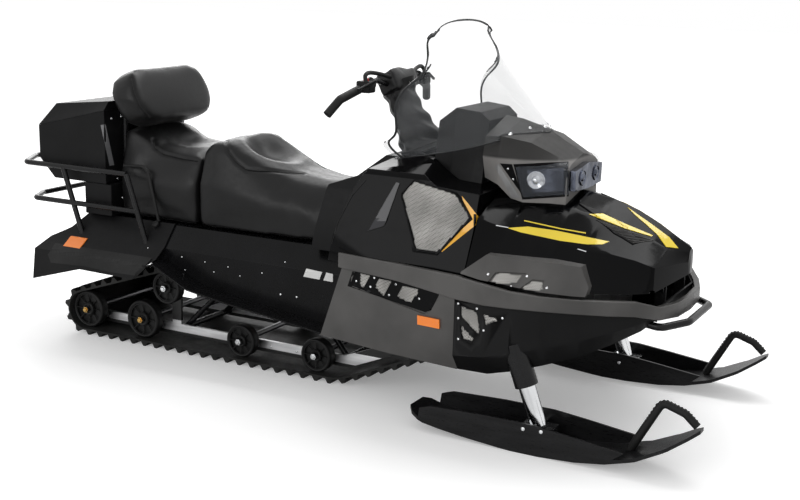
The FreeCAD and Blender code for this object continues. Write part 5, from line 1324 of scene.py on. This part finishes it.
SIDE_SCREWS = ((356.4, 281.0), (374.4, 277.8), (370.6, 286.8), (396.0, 284.3), (389.1, 295.0),
               (419.2, 298.7))
BELLY_SCREWS = ((458.3, 303.5), (477.0, 308.6), (458.3, 318.2), (458.3, 339.0), (483.6, 330.5),
                (502.5, 318.2))
SCOOP_SCREWS = ((488.0, 274.4), (526.9, 276.3), (511.2, 287.5), (546.7, 288.0))
POD_SCREWS = ((508.1, 168.8), (513.2, 179.4))
SCREEN_SCREWS = ((510.8, 134.0), (510.3, 145.1), (530.1, 128.1), (545.0, 127.0))
TUNNEL_SCREWS = ((148.0, 247.9), (182.0, 257.0), (185.0, 270.0), (214.0, 272.0), (240.0, 276.0),
                 (205.0, 262.0), (228.0, 267.0), (262.0, 273.0), (285.0, 262.0), (316.0, 246.0))


class SNOWMOBILE_OT_windows(bpy.types.Operator):
    """Sets perforated sheets in the windows of the console, panels, belly and scoops"""
    bl_idname = "snowmobile.windows"
    bl_label = "Mesh windows"

    def execute(self, context):
        perforated("console_mesh", HEX_MESH, ("hex_grilles_panel",), "root", 5.6 * MM)
        perforated("side_mesh", SIDE_MESH, ("side_panels_panel",), "root", 6.4 * MM)
        perforated("belly_mesh", BELLY_MESH, ("belly_pan_panel",), "root", 6.4 * MM)
        perforated("scoop_mesh", SCOOP_MESH, ("side_scoops_panel",), "hood_body", 6.4 * MM)
        return {"FINISHED"}


class SNOWMOBILE_OT_screws(bpy.types.Operator):
    """Sets the screws and rivets"""
    bl_idname = "snowmobile.screws"
    bl_label = "Screws"

    def execute(self, context):
        screws_at("side_screws", SIDE_SCREWS, ("side_panels_panel",), "root")
        screws_at("belly_screws", BELLY_SCREWS, ("belly_pan_panel",), "root")
        screws_at("scoop_screws", SCOOP_SCREWS, ("side_scoops_panel",), "hood_body")
        screws_at("pod_screws", POD_SCREWS, ("lamp_pod_panel",), "hood_body")
        screws_at("tunnel_rivets", TUNNEL_SCREWS, ("tunnel_panel", "rear_fender_panel"), "root",
                  radius=3.2 * MM)
        return {"FINISHED"}


# Windscreen, lamps and the small parts of the hood and console

# The turn between faces of the screen up to which they look like one curve
SMOOTH_SCREEN = math.radians(50)


class SNOWMOBILE_OT_windscreen(bpy.types.Operator):
    """Makes the clear windscreen, with a dark bead on its edges as painted shade for the dark look
    of its clear cut edge
    """
    bl_idname = "snowmobile.windscreen"
    bl_label = "Windscreen"

    def execute(self, context):
        edges = context.scene.snowmobile_edges
        mesh = solid_copy("windscreen", edges.weld)
        add_piece("screen_sheet", mesh, "hood_body", "clear_screen", None, ("windscreen",),
                  smooth=SMOOTH_SCREEN)
        # A dark bead along the sheet's edges: painted shade in place of the dark look that light
        # bending through the clear edge gives it
        bead_along("screen_rim", mesh, edges.crease, edges.rim, "hood_body", "clear_screen",
                   "screen_rim")
        screws_at("screen_bolts", SCREEN_SCREWS, ("screen_sheet",), "hood_body", 6.5 * MM)
        return {"FINISHED"}


# The lamp's parts on the pod: outlines and a place in pixels, and the bowls' radii
LENS = (((516.5, 166.5), (567.0, 164.4), (567.0, 194.2), (523.5, 197.0)),)
LENS_HOUSING = (((513.5, 164.2), (568.2, 161.9), (568.2, 196.4), (522.5, 199.5)),)
LAMP_PLATE = (((500.2, 163.4), (511.9, 164.2), (521.4, 193.5)),)
SIDE_PLATE = (((495.0, 166.5), (499.0, 164.2), (521.0, 198.5), (511.5, 197.5)),)
LAMP_MIRROR = (((527.0, 170.0), (563.5, 168.0), (564.0, 191.0), (532.5, 192.5)),)
LAMP_BOWL = (536.0, 180.5)
BOWL_RADIUS, FRONT_BOWL_RADIUS = 34 * MM, 30 * MM


def lamp_bowl():
    """A lamp's rim, bowl and bulb cap, of unit radius."""
    return turned_profile("lamp_bowl", [
        (1.0, 0.0), (1.0, 0.10), (0.92, 0.16), (0.84, 0.06), (0.50, 0.02), (0.40, 0.10),
        (0.34, 0.18), (0.16, 0.26), (0, 0.27)], 40)


class SNOWMOBILE_OT_lamps(bpy.types.Operator):
    """Sets the lamp bowls, their housing and the wrap-round lens on the pod"""
    bl_idname = "snowmobile.lamps"
    bl_label = "Headlamps"

    def execute(self, context):
        pod = ("lamp_pod_panel", "headlamp_lens_panel")
        patch("lamp_housing", LENS_HOUSING, pod, "hood_body", "satin_black", "gloss_black",
              lift=2.0 * MM, depth=2.0 * MM)
        patch("lamp_plates", LAMP_PLATE, pod, "hood_body", "satin_black", "gloss_black",
              lift=2.4 * MM, depth=2.4 * MM)
        patch("pod_side_plates", SIDE_PLATE, pod, "hood_body", "charcoal", "cast_grey",
              lift=1.6 * MM, depth=1.6 * MM)
        patch("lamp_mirrors", LAMP_MIRROR, ("lamp_housing",), "hood_body", "clear_lens",
              "dark_chrome", lift=1.5 * MM, depth=1.5 * MM)
        seat = seat_at(surface_of("lamp_mirrors"), LAMP_BOWL)
        repeated("lamp_bowls", lamp_bowl(), [seat], "hood_body", "clear_lens", "lamp_mirror",
                 BOWL_RADIUS)
        low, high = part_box("headlamp_lens")
        front = Vector((high.x, RIGHT * (high.y - low.y) / 4, (low.z + high.z) / 2))
        repeated("front_bowls", lamp_bowl(), [(front, AHEAD, ACROSS)], "hood_body",
                 "clear_lens", "dark_chrome", FRONT_BOWL_RADIUS)
        patch("lamp_cover", LENS, ("lamp_housing",), "hood_body", "clear_lens", "clear_lens",
              lift=12 * MM, depth=1.5 * MM)
        return {"FINISHED"}


# The windows of console and side panel and the beads round them, in pixels of the photograph
CONSOLE_WINDOW = (((395.9, 182.2), (399.9, 183.2), (384.6, 226.0), (367.7, 231.1)),)
CONSOLE_LINES = (
    ((399.9, 183.2), (384.6, 226.0), (367.7, 231.1), (395.9, 182.2)),
    ((366.0, 180.0), (352.0, 196.0), (338.0, 222.0), (332.0, 244.0)),
)
HEX_FRAME = ((414.2, 180.2), (456.2, 193.4), (470.8, 217.4), (438.2, 253.6), (415.4, 250.2),
             (401.2, 194.4), (414.2, 180.2))
SIDE_RECESS = (((352.5, 271.4), (376.0, 273.6), (440.8, 291.4), (431.2, 310.2), (425.4, 312.2),
                (347.6, 286.0)),)
# The vent's two long edges, each from its front end to its rear end, and its number of ribs
VENT_EDGES = (((595.0, 219.0), (634.0, 243.5)), ((599.5, 221.0), (655.0, 241.0)))
VENT_RIBS = 17


def rungs(edges, count):
    """Lines across a band, from one of its edges to the other."""
    return [[Vector(start).lerp(Vector(end), (k + 0.5) / count) for start, end in edges]
            for k in range(count)]


class SNOWMOBILE_OT_front_trim(bpy.types.Operator):
    """Adds the vent ribs, the console window and the thin beads round the windows"""
    bl_idname = "snowmobile.front_trim"
    bl_label = "Front trim"

    def execute(self, context):
        beads("vent_ribs", rungs(VENT_EDGES, VENT_RIBS), ("hood_panel", "hood_vents_panel"),
              "hood_body", "satin_black", "charcoal", 1.8 * MM, 1.2 * MM)
        patch("console_windows", CONSOLE_WINDOW, ("console_panel",), "root", "gloss_black",
              "dark_glass", lift=1.2 * MM, depth=1.2 * MM)
        beads("console_beads", CONSOLE_LINES, ("console_panel",), "root", "gloss_black",
              "wheel_black", 1.6 * MM, 0.8 * MM)
        beads("hex_frames", (HEX_FRAME,), ("console_panel", "hex_grilles_panel"), "root",
              "gloss_black", "gloss_black", 4.0 * MM, 1.0 * MM)
        patch("side_recess", SIDE_RECESS, ("side_panels_panel",), "root", "satin_black",
              "gloss_black", lift=1.0 * MM, depth=1.0 * MM)
        return {"FINISHED"}


# Running gear, skis, handlebar controls and rear fittings

# The wheels on the ground: place along the vehicle and radius in metres, and the bolt's finish
GROUND_WHEELS = ((-1.242, 0.085, "brass"), (-0.926, 0.085, "brass"), (-0.395, 0.070, "zinc"),
                 (-0.017, 0.070, "zinc"))
# The wheel below the track's upper run: place, height, radius and the bolt's finish
CARRIER_WHEEL = (-0.792, 0.275, 0.072, "zinc")
WHEEL_BOLT_RADIUS = 9.5 * MM
WHEEL_RIBS = 8
# Where the lines start that find a wheel's side, and where they meet it in shares of its radius
WHEEL_LOOK, RIM_SHARE = RIGHT * 0.6, 0.90


def wheel_centres():
    """The road wheels' centres and radii, and the finish of their bolts."""
    low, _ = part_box("road_wheels")
    ground = [(x, low.z + radius, radius, bolt) for x, radius, bolt in GROUND_WHEELS]
    return ground + [CARRIER_WHEEL]


def wheel_face():
    """A wheel's ribs, tyre and bearing seal, of unit radius."""
    parts = []
    for k in range(WHEEL_RIBS):
        turn = math.tau * k / WHEEL_RIBS
        along = Vector((math.cos(turn), math.sin(turn), 0))
        line = [along * reach + UP * height
                for reach, height in ((0.34, -0.10), (0.56, -0.06), (0.80, -0.01))]
        parts.append(tube_mesh("rib", line, 0.035, 6))
    parts.append(turned_profile("tyre", [(1.0, -0.30), (1.02, -0.08), (0.99, 0.03), (0.93, 0.06),
                                         (0.86, 0.035), (0.83, -0.04)], 48))
    parts.append(turned_profile("seal", [(0.36, -0.12), (0.36, 0.05), (0.31, 0.09),
                                         (0.22, 0.07), (0.20, 0.0)], 24))
    return join_meshes("wheel_face", parts)


class SNOWMOBILE_OT_wheels(bpy.types.Operator):
    """Adds rubber tyres, ribs, bearing seals and bolts to the road wheels"""
    bl_idname = "snowmobile.wheels"
    bl_label = "Road wheels"

    def execute(self, context):
        tree = surface_of_node("road_wheels", "axles")
        outward = ACROSS * RIGHT
        faces, bolts = [], {"brass": [], "zinc": []}
        for x, z, radius, finish in wheel_centres():
            start = Vector((x, WHEEL_LOOK, z))
            rim, _, _, _ = tree.ray_cast(start + UP * (radius * RIM_SHARE), -outward)
            hub, _, _, _ = tree.ray_cast(start, -outward)
            if rim is None or hub is None:
                continue
            faces.append((Vector((x, rim.y, z)), outward, AHEAD, radius))
            bolts[finish].append((Vector((x, hub.y, z)), outward, AHEAD))
        repeated("wheel_faces", wheel_face(), faces, "root", "wheel_black", smooth=SMOOTH_PART)
        bolt = turned_profile("wheel_bolt", [(1.45, 0.0), (1.45, 0.22), (1.0, 0.24), (0.98, 0.85),
                                             (0.80, 1.0), (0, 1.0)], 6)
        for finish, places in bolts.items():
            repeated("wheel_bolts_" + finish, bolt, places, "root", "zinc", finish,
                     WHEEL_BOLT_RADIUS)
        return {"FINISHED"}


# A ski's loop: the steps along it, the reach of the lines that find it in shares of its height,
# the radii of its tube and rings, and the runs between steps that get a ring
LOOP_STEPS, LOOP_REACH = 45, 1.3
LOOP_TUBE, RING_RADIUS = 10.5 * MM, 11.2 * MM
SHORTEST_RUN, LONGEST_RUN = 1e-4, 0.08


def outside_of_loop(tree, foot, size):
    """Points along the outside of a loop that stands over its foot."""
    points = []
    for k in range(LOOP_STEPS + 1):
        turn = math.pi * (k / LOOP_STEPS)
        start = foot + Vector((math.cos(turn) * size.x, 0, math.sin(turn) * size.z * LOOP_REACH))
        hit, _, _, _ = tree.ray_cast(start, (foot - start).normalized())
        if hit is not None:
            points.append(hit)
    return points[1:-1]


class SNOWMOBILE_OT_loops(bpy.types.Operator):
    """Adds the moulded rings to the ski loops"""
    bl_idname = "snowmobile.loops"
    bl_label = "Ski loops"

    def execute(self, context):
        for name in ("right", "left"):
            low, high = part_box("ski_loop_" + name)
            foot = Vector(((low.x + high.x) / 2, (low.y + high.y) / 2, low.z))
            line = outside_of_loop(surface_of_node("ski_loop_" + name), foot, high - low)
            rings = []
            for before, here, after in zip(line, line[1:], line[2:]):
                run = after - before
                if not SHORTEST_RUN <= run.length <= LONGEST_RUN:
                    continue
                run.normalize()
                outward = Vector((run.z, 0, -run.x))
                if outward.dot(here - foot) < 0:
                    outward = -outward
                rings.append((here - outward * LOOP_TUBE, run, ACROSS))
            ring = turned_profile("loop_ring", [(1.0, -0.30), (1.16, -0.20), (1.16, 0.20),
                                                (1.0, 0.30)], 14)
            repeated("loop_rings_" + name, ring, rings, "ski_%s_body" % name, "black_rubber",
                     size=RING_RADIUS, sides=(RIGHT,))
        return {"FINISHED"}


# The stop switch, a pixel of the photograph
STOP_SWITCH = (366.0, 81.0)
# The bar's loop: pixels of its line, each with its distance from the vehicle's middle in metres
BAR_LOOP = ((395.0, 78.5, 0.075), (383.0, 74.5, 0.13), (371.0, 72.3, 0.20), (366.0, 73.5, 0.235),
            (364.6, 78.0, 0.25), (367.0, 84.0, 0.25))
BAR_LOOP_RADIUS, STOP_SWITCH_RADIUS = 8.5 * MM, 11 * MM
SWITCH_BLOCK, SWITCH_BLOCK_EDGE = Vector((0.062, 0.052, 0.046)), 7 * MM
SWITCH_BLOCK_DROP = 22 * MM


class SNOWMOBILE_OT_controls(bpy.types.Operator):
    """Adds the bar loops, the switch blocks and the red stop switch"""
    bl_idname = "snowmobile.controls"
    bl_label = "Handlebar controls"

    def execute(self, context):
        red = turned_profile("stop_switch", [(1.0, -0.3), (1.0, 0.8), (0.8, 1.0), (0, 1.0)], 16)
        place, _ = seen_at(surface_of_node("handlebar_controls"), STOP_SWITCH)
        repeated("stop_switch", red, [(place, UP, AHEAD)], "steering", "satin_black",
                 "red_button", STOP_SWITCH_RADIUS, sides=(RIGHT,))
        line = []
        for x, y, width in BAR_LOOP:
            start, direction = photo_line((x, y))
            line.append(start + direction * ((RIGHT * width - start.y) / direction.y))
        loop = mirrored_mesh(tube_mesh("bar_loops", line, BAR_LOOP_RADIUS, 12))
        add_piece("bar_loops", loop, "steering", "satin_black", "black_rubber",
                  smooth=SMOOTH_TUBE)
        repeated("switch_blocks", rounded_block(SWITCH_BLOCK, SWITCH_BLOCK_EDGE),
                 [(place - UP * SWITCH_BLOCK_DROP, UP, AHEAD)], "steering", "satin_black")
        return {"FINISHED"}


# Caps, knobs, bolts and flaps: places and an outline in pixels, and sizes
TANK_CAP = (390.5, 158.5)
TANK_CAP_RADIUS, TANK_CAP_SINK = 34 * MM, 0.004
REAR_KNOB = (157.0, 225.0)
REAR_KNOB_RADIUS = 15 * MM
TRUNK_SCREWS = ((117.6, 178.5), (122.8, 197.6), (111.4, 118.5), (121.0, 116.3))
RAIL_SCREWS = ((280.6, 294.4), (296.7, 297.2), (271.2, 346.3), (296.7, 351.5), (318.0, 353.7))
FENDER_FLAP = (((55.8, 243.5), (100.0, 250.5), (145.7, 257.4), (152.3, 258.8), (137.0, 275.6),
                (110.6, 272.0), (84.3, 266.0), (51.4, 262.5), (48.5, 254.4)),)


class SNOWMOBILE_OT_rear_fittings(bpy.types.Operator):
    """Adds the tank cap, the side knobs, the fender flaps and the bolts of trunk and rails"""
    bl_idname = "snowmobile.rear_fittings"
    bl_label = "Caps, knobs and flaps"

    def execute(self, context):
        cap = turned_profile("tank_cap", [(1.0, 0), (1.0, 0.36), (0.94, 0.46), (0.5, 0.48),
                                          (0.46, 0.42), (0, 0.42)], 40)
        place, _ = seen_at(surface_of("console_panel", "tank_cover_panel"), TANK_CAP)
        repeated("tank_cap", cap, [((place.x, 0, place.z - TANK_CAP_SINK), UP, AHEAD)], "root",
                 "satin_black", "black_rubber", TANK_CAP_RADIUS, sides=(RIGHT,))
        knob = turned_profile("knob", [(0.7, 0), (0.7, 0.3), (1.0, 0.45), (1.0, 1.0), (0.8, 1.15),
                                       (0, 1.18)], 20)
        seat = seat_at(surface_of("tunnel_panel", "rear_fender_panel"), REAR_KNOB)
        repeated("side_knobs", knob, [seat], "root", "satin_black", "black_rubber",
                 REAR_KNOB_RADIUS)
        screws_at("trunk_bolts", TRUNK_SCREWS, ("trunk_box_panel", "rear_tank_panel"), "root",
                  6 * MM)
        screws_at("rail_bolts", RAIL_SCREWS, ("slide_rails_panel", "running_boards_panel",
                                              "tunnel_panel"), "root")
        patch("fender_flaps", FENDER_FLAP, ("rear_fender_panel",), "root", "satin_black",
              "flap_grey", lift=4.0 * MM, depth=4.0 * MM)
        return {"FINISHED"}


# The shock's coil: where it starts and ends is given as a share of the shock's length
COIL = {"turns": 9, "steps": 14, "radius": 30 * MM, "wire": 4.5 * MM, "from": 0.10, "to": 0.72}
SHOCK_END = 15 * MM
# The skis' bolts in pixels of the photograph
SKI_BOLTS = ((523.0, 429.0), (541.0, 432.0))
SKI_INNER_BOLTS = ((619.0, 362.4),)
SKI_BOLT_RADIUS = 8 * MM


def coil_line():
    """The line of the wire round the shock absorber."""
    low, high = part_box("shock_absorber")
    top = Vector((low.x, 0, high.z - SHOCK_END))
    axis = Vector((high.x, 0, low.z + SHOCK_END)) - top
    rise = axis.normalized().cross(ACROSS)
    count, line = COIL["turns"] * COIL["steps"], []
    for k in range(count + 1):
        turn = math.tau * k / COIL["steps"]
        share = COIL["from"] + (COIL["to"] - COIL["from"]) * k / count
        outward = ACROSS * math.cos(turn) + rise * math.sin(turn)
        line.append(top + axis * share + outward * COIL["radius"])
    return line


class SNOWMOBILE_OT_springs(bpy.types.Operator):
    """Winds the coil on the shock absorber and sets the skis' pivot bolts"""
    bl_idname = "snowmobile.springs"
    bl_label = "Spring and ski bolts"

    def execute(self, context):
        add_piece("shock_coil", tube_mesh("shock_coil", coil_line(), COIL["wire"], 8, bend=2),
                  "root", "yellow_spring", smooth=SMOOTH_TUBE)
        right = [seat_at(surface_of("ski_right_panel"), pixel) for pixel in SKI_BOLTS]
        left = [seat_at(surface_of("ski_left_panel"), pixel) for pixel in SKI_INNER_BOLTS]
        for name, near, far in (("right", right, left), ("left", left, right)):
            mirrored = [tuple(item * MIRROR for item in seat) for seat in far]
            repeated("ski_bolts_" + name, screw_head(), near + mirrored, "ski_%s_body" % name,
                     "steel", "zinc", SKI_BOLT_RADIUS, sides=(RIGHT,))
        return {"FINISHED"}


# The camera, the room and the lamps

SENSOR_WIDTH, VIEW_END = 36.0, 200.0
FLOOR_HALF = 30.0
# How the floor glows in the camera's view: the reaches between which it changes, and near strength
GLOW_NEAR, GLOW_FAR, GLOW_LOW = 0.8, 4.0, 0.24
WHITE = (1, 1, 1, 1)
# Each lamp's place, target and size, and the setting that holds its power
LAMPS = {
    "key_lamp": ((0.2, 1.5, 4.0), (0.2, 0.0, 0.5), (5.0, 1.6), "key_power"),
    "side_lamp": ((-1.0, -6.5, 3.0), (0.2, 0.0, 0.6), (6.0, 3.0), "side_power"),
    "rear_lamp": ((-3.4, 3.4, 2.6), (-0.2, 0.0, 0.8), (3.6, 2.0), "rear_power"),
}


def area_lamp(name, place, target, size, power):
    """A rectangular lamp that faces its target."""
    data = bpy.data.lights.new(name, "AREA")
    data.shape = "RECTANGLE"
    data.size, data.size_y = size
    data.energy = power
    lamp = in_scene(name, data)
    lamp.location = place
    lamp.rotation_mode = "QUATERNION"
    lamp.rotation_quaternion = (Vector(target) - Vector(place)).to_track_quat("-Z", "Y")


def white_for_view(tree, shader_socket, white):
    """Shows white to the camera, to glossy rays and through glass, and the shader otherwise."""
    path = tree.nodes.new("ShaderNodeLightPath").outputs
    either = add_node(tree, "ShaderNodeMath", {0: path["Is Camera Ray"], 1: path["Is Glossy Ray"]},
                      operation="MAXIMUM")
    any_of = add_node(tree, "ShaderNodeMath", {0: either.outputs[0],
                                               1: path["Is Transmission Ray"]},
                      operation="MAXIMUM")
    mix = add_node(tree, "ShaderNodeMixShader", {"Fac": any_of.outputs[0], 1: shader_socket,
                                                 2: white})
    return mix.outputs["Shader"]


class SNOWMOBILE_OT_stage(bpy.types.Operator):
    """Makes the camera, the floor, the room and the lamps"""
    bl_idname = "snowmobile.stage"
    bl_label = "Stage"

    def execute(self, context):
        stage = context.scene.snowmobile_stage
        data = bpy.data.cameras.new("camera")
        data.sensor_width = SENSOR_WIDTH
        data.lens = stage.focal_pixels * SENSOR_WIDTH / PHOTO_WIDTH
        data.clip_end = VIEW_END
        camera = in_scene("camera", data)
        turn = Matrix(camera_axes()).transposed()
        camera.matrix_world = Matrix.LocRotScale(Vector(stage.place), turn.to_quaternion(), None)
        context.scene.camera = camera
        self.make_floor(stage)
        self.make_room(context, stage)
        for name, (place, target, size, power) in LAMPS.items():
            area_lamp(name, place, target, size, getattr(stage, power))
        context.scene.view_settings.view_transform = "Standard"
        return {"FINISHED"}

    def make_floor(self, stage):
        """Lays a wide floor that glows in the camera's view."""
        mesh = bpy.data.meshes.new("floor")
        corners = [(x * FLOOR_HALF, y * FLOOR_HALF, 0)
                   for x, y in ((-1, -1), (1, -1), (1, 1), (-1, 1))]
        mesh.from_pydata(corners, [], [(0, 1, 2, 3)])
        floor = in_scene("floor", mesh)
        material, tree, shader = new_material("floor")
        place = object_place(tree)
        reach = add_node(tree, "ShaderNodeVectorMath", {0: place}, operation="LENGTH")
        glow = add_node(tree, "ShaderNodeMapRange", {"Value": reach.outputs["Value"]},
                        interpolation_type="SMOOTHSTEP", From_Min=GLOW_NEAR, From_Max=GLOW_FAR,
                        To_Min=GLOW_LOW, To_Max=stage.floor_glow)
        view = tree.nodes.new("ShaderNodeLightPath").outputs
        shown = add_node(tree, "ShaderNodeMath", {0: view["Is Camera Ray"],
                                                  1: glow.outputs["Result"]},
                         operation="MULTIPLY")
        feed(tree, shader, {
            "Base Color": mottled(tree, noise_of(tree, place, 0.4), stage.floor_colour, 1.0, 1.02),
            "Emission Strength": shown.outputs[0],
        }, Roughness=0.7, Emission_Color=WHITE)
        mesh.materials.append(material)

    def make_room(self, context, stage):
        """Lights the room softly, and shows it white."""
        world = bpy.data.worlds.new("room")
        context.scene.world = world
        world.use_nodes = True
        tree = world.node_tree
        soft = feed(tree, tree.nodes["Background"], Color=WHITE, Strength=stage.sky)
        white = add_node(tree, "ShaderNodeBackground", Color=WHITE, Strength=1.0)
        shown = white_for_view(tree, soft.outputs[0], white.outputs[0])
        feed(tree, tree.nodes["World Output"], {"Surface": shown})


class SNOWMOBILE_PT_panel(bpy.types.Panel):
    """Lists the steps in their order"""
    bl_idname = "SNOWMOBILE_PT_panel"
    bl_label = "Snowmobile"
    bl_space_type = "VIEW_3D"
    bl_region_type = "UI"
    bl_category = "Snowmobile"

    def draw(self, context):
        for step in STEPS:
            self.layout.operator(step.bl_idname)


class SNOWMOBILE_PT_panel(bpy.types.Panel):
    """Lists the steps in their order"""
    bl_idname = "SNOWMOBILE_PT_panel"
    bl_label = "Snowmobile"
    bl_space_type = "VIEW_3D"
    bl_region_type = "UI"
    bl_category = "Snowmobile"

    def draw(self, context):
        for step in STEPS:
            self.layout.operator(step.bl_idname)


STEPS = (SNOWMOBILE_OT_finishes, SNOWMOBILE_OT_panels, SNOWMOBILE_OT_carried,
         SNOWMOBILE_OT_seats, SNOWMOBILE_OT_backrest, SNOWMOBILE_OT_boot, SNOWMOBILE_OT_bar_pad,
         SNOWMOBILE_OT_windscreen, SNOWMOBILE_OT_lamps, SNOWMOBILE_OT_front_trim,
         SNOWMOBILE_OT_stripes, SNOWMOBILE_OT_windows, SNOWMOBILE_OT_screws,
         SNOWMOBILE_OT_wheels, SNOWMOBILE_OT_loops, SNOWMOBILE_OT_controls,
         SNOWMOBILE_OT_rear_fittings, SNOWMOBILE_OT_springs, SNOWMOBILE_OT_stage)
SETTINGS = {"snowmobile_stage": StageSettings, "snowmobile_paint": PaintSettings,
            "snowmobile_edges": EdgeSettings, "snowmobile_soft": SoftSettings}


def register():
    """Registers the settings, the steps and the panel."""
    for group in SETTINGS.values():
        bpy.utils.register_class(group)
    for name, group in SETTINGS.items():
        setattr(bpy.types.Scene, name, PointerProperty(type=group))
    for step in STEPS:
        bpy.utils.register_class(step)
    bpy.utils.register_class(SNOWMOBILE_PT_panel)


def unregister():
    """Takes back what register() did."""
    bpy.utils.unregister_class(SNOWMOBILE_PT_panel)
    for step in reversed(STEPS):
        bpy.utils.unregister_class(step)
    for name in SETTINGS:
        delattr(bpy.types.Scene, name)
    for group in reversed(list(SETTINGS.values())):
        bpy.utils.unregister_class(group)


def main():
    """Runs the steps in their order."""
    register()
    for step in STEPS:
        family, name = step.bl_idname.split(".")
        getattr(getattr(bpy.ops, family), name)()


if __name__ == "__main__":
    main()
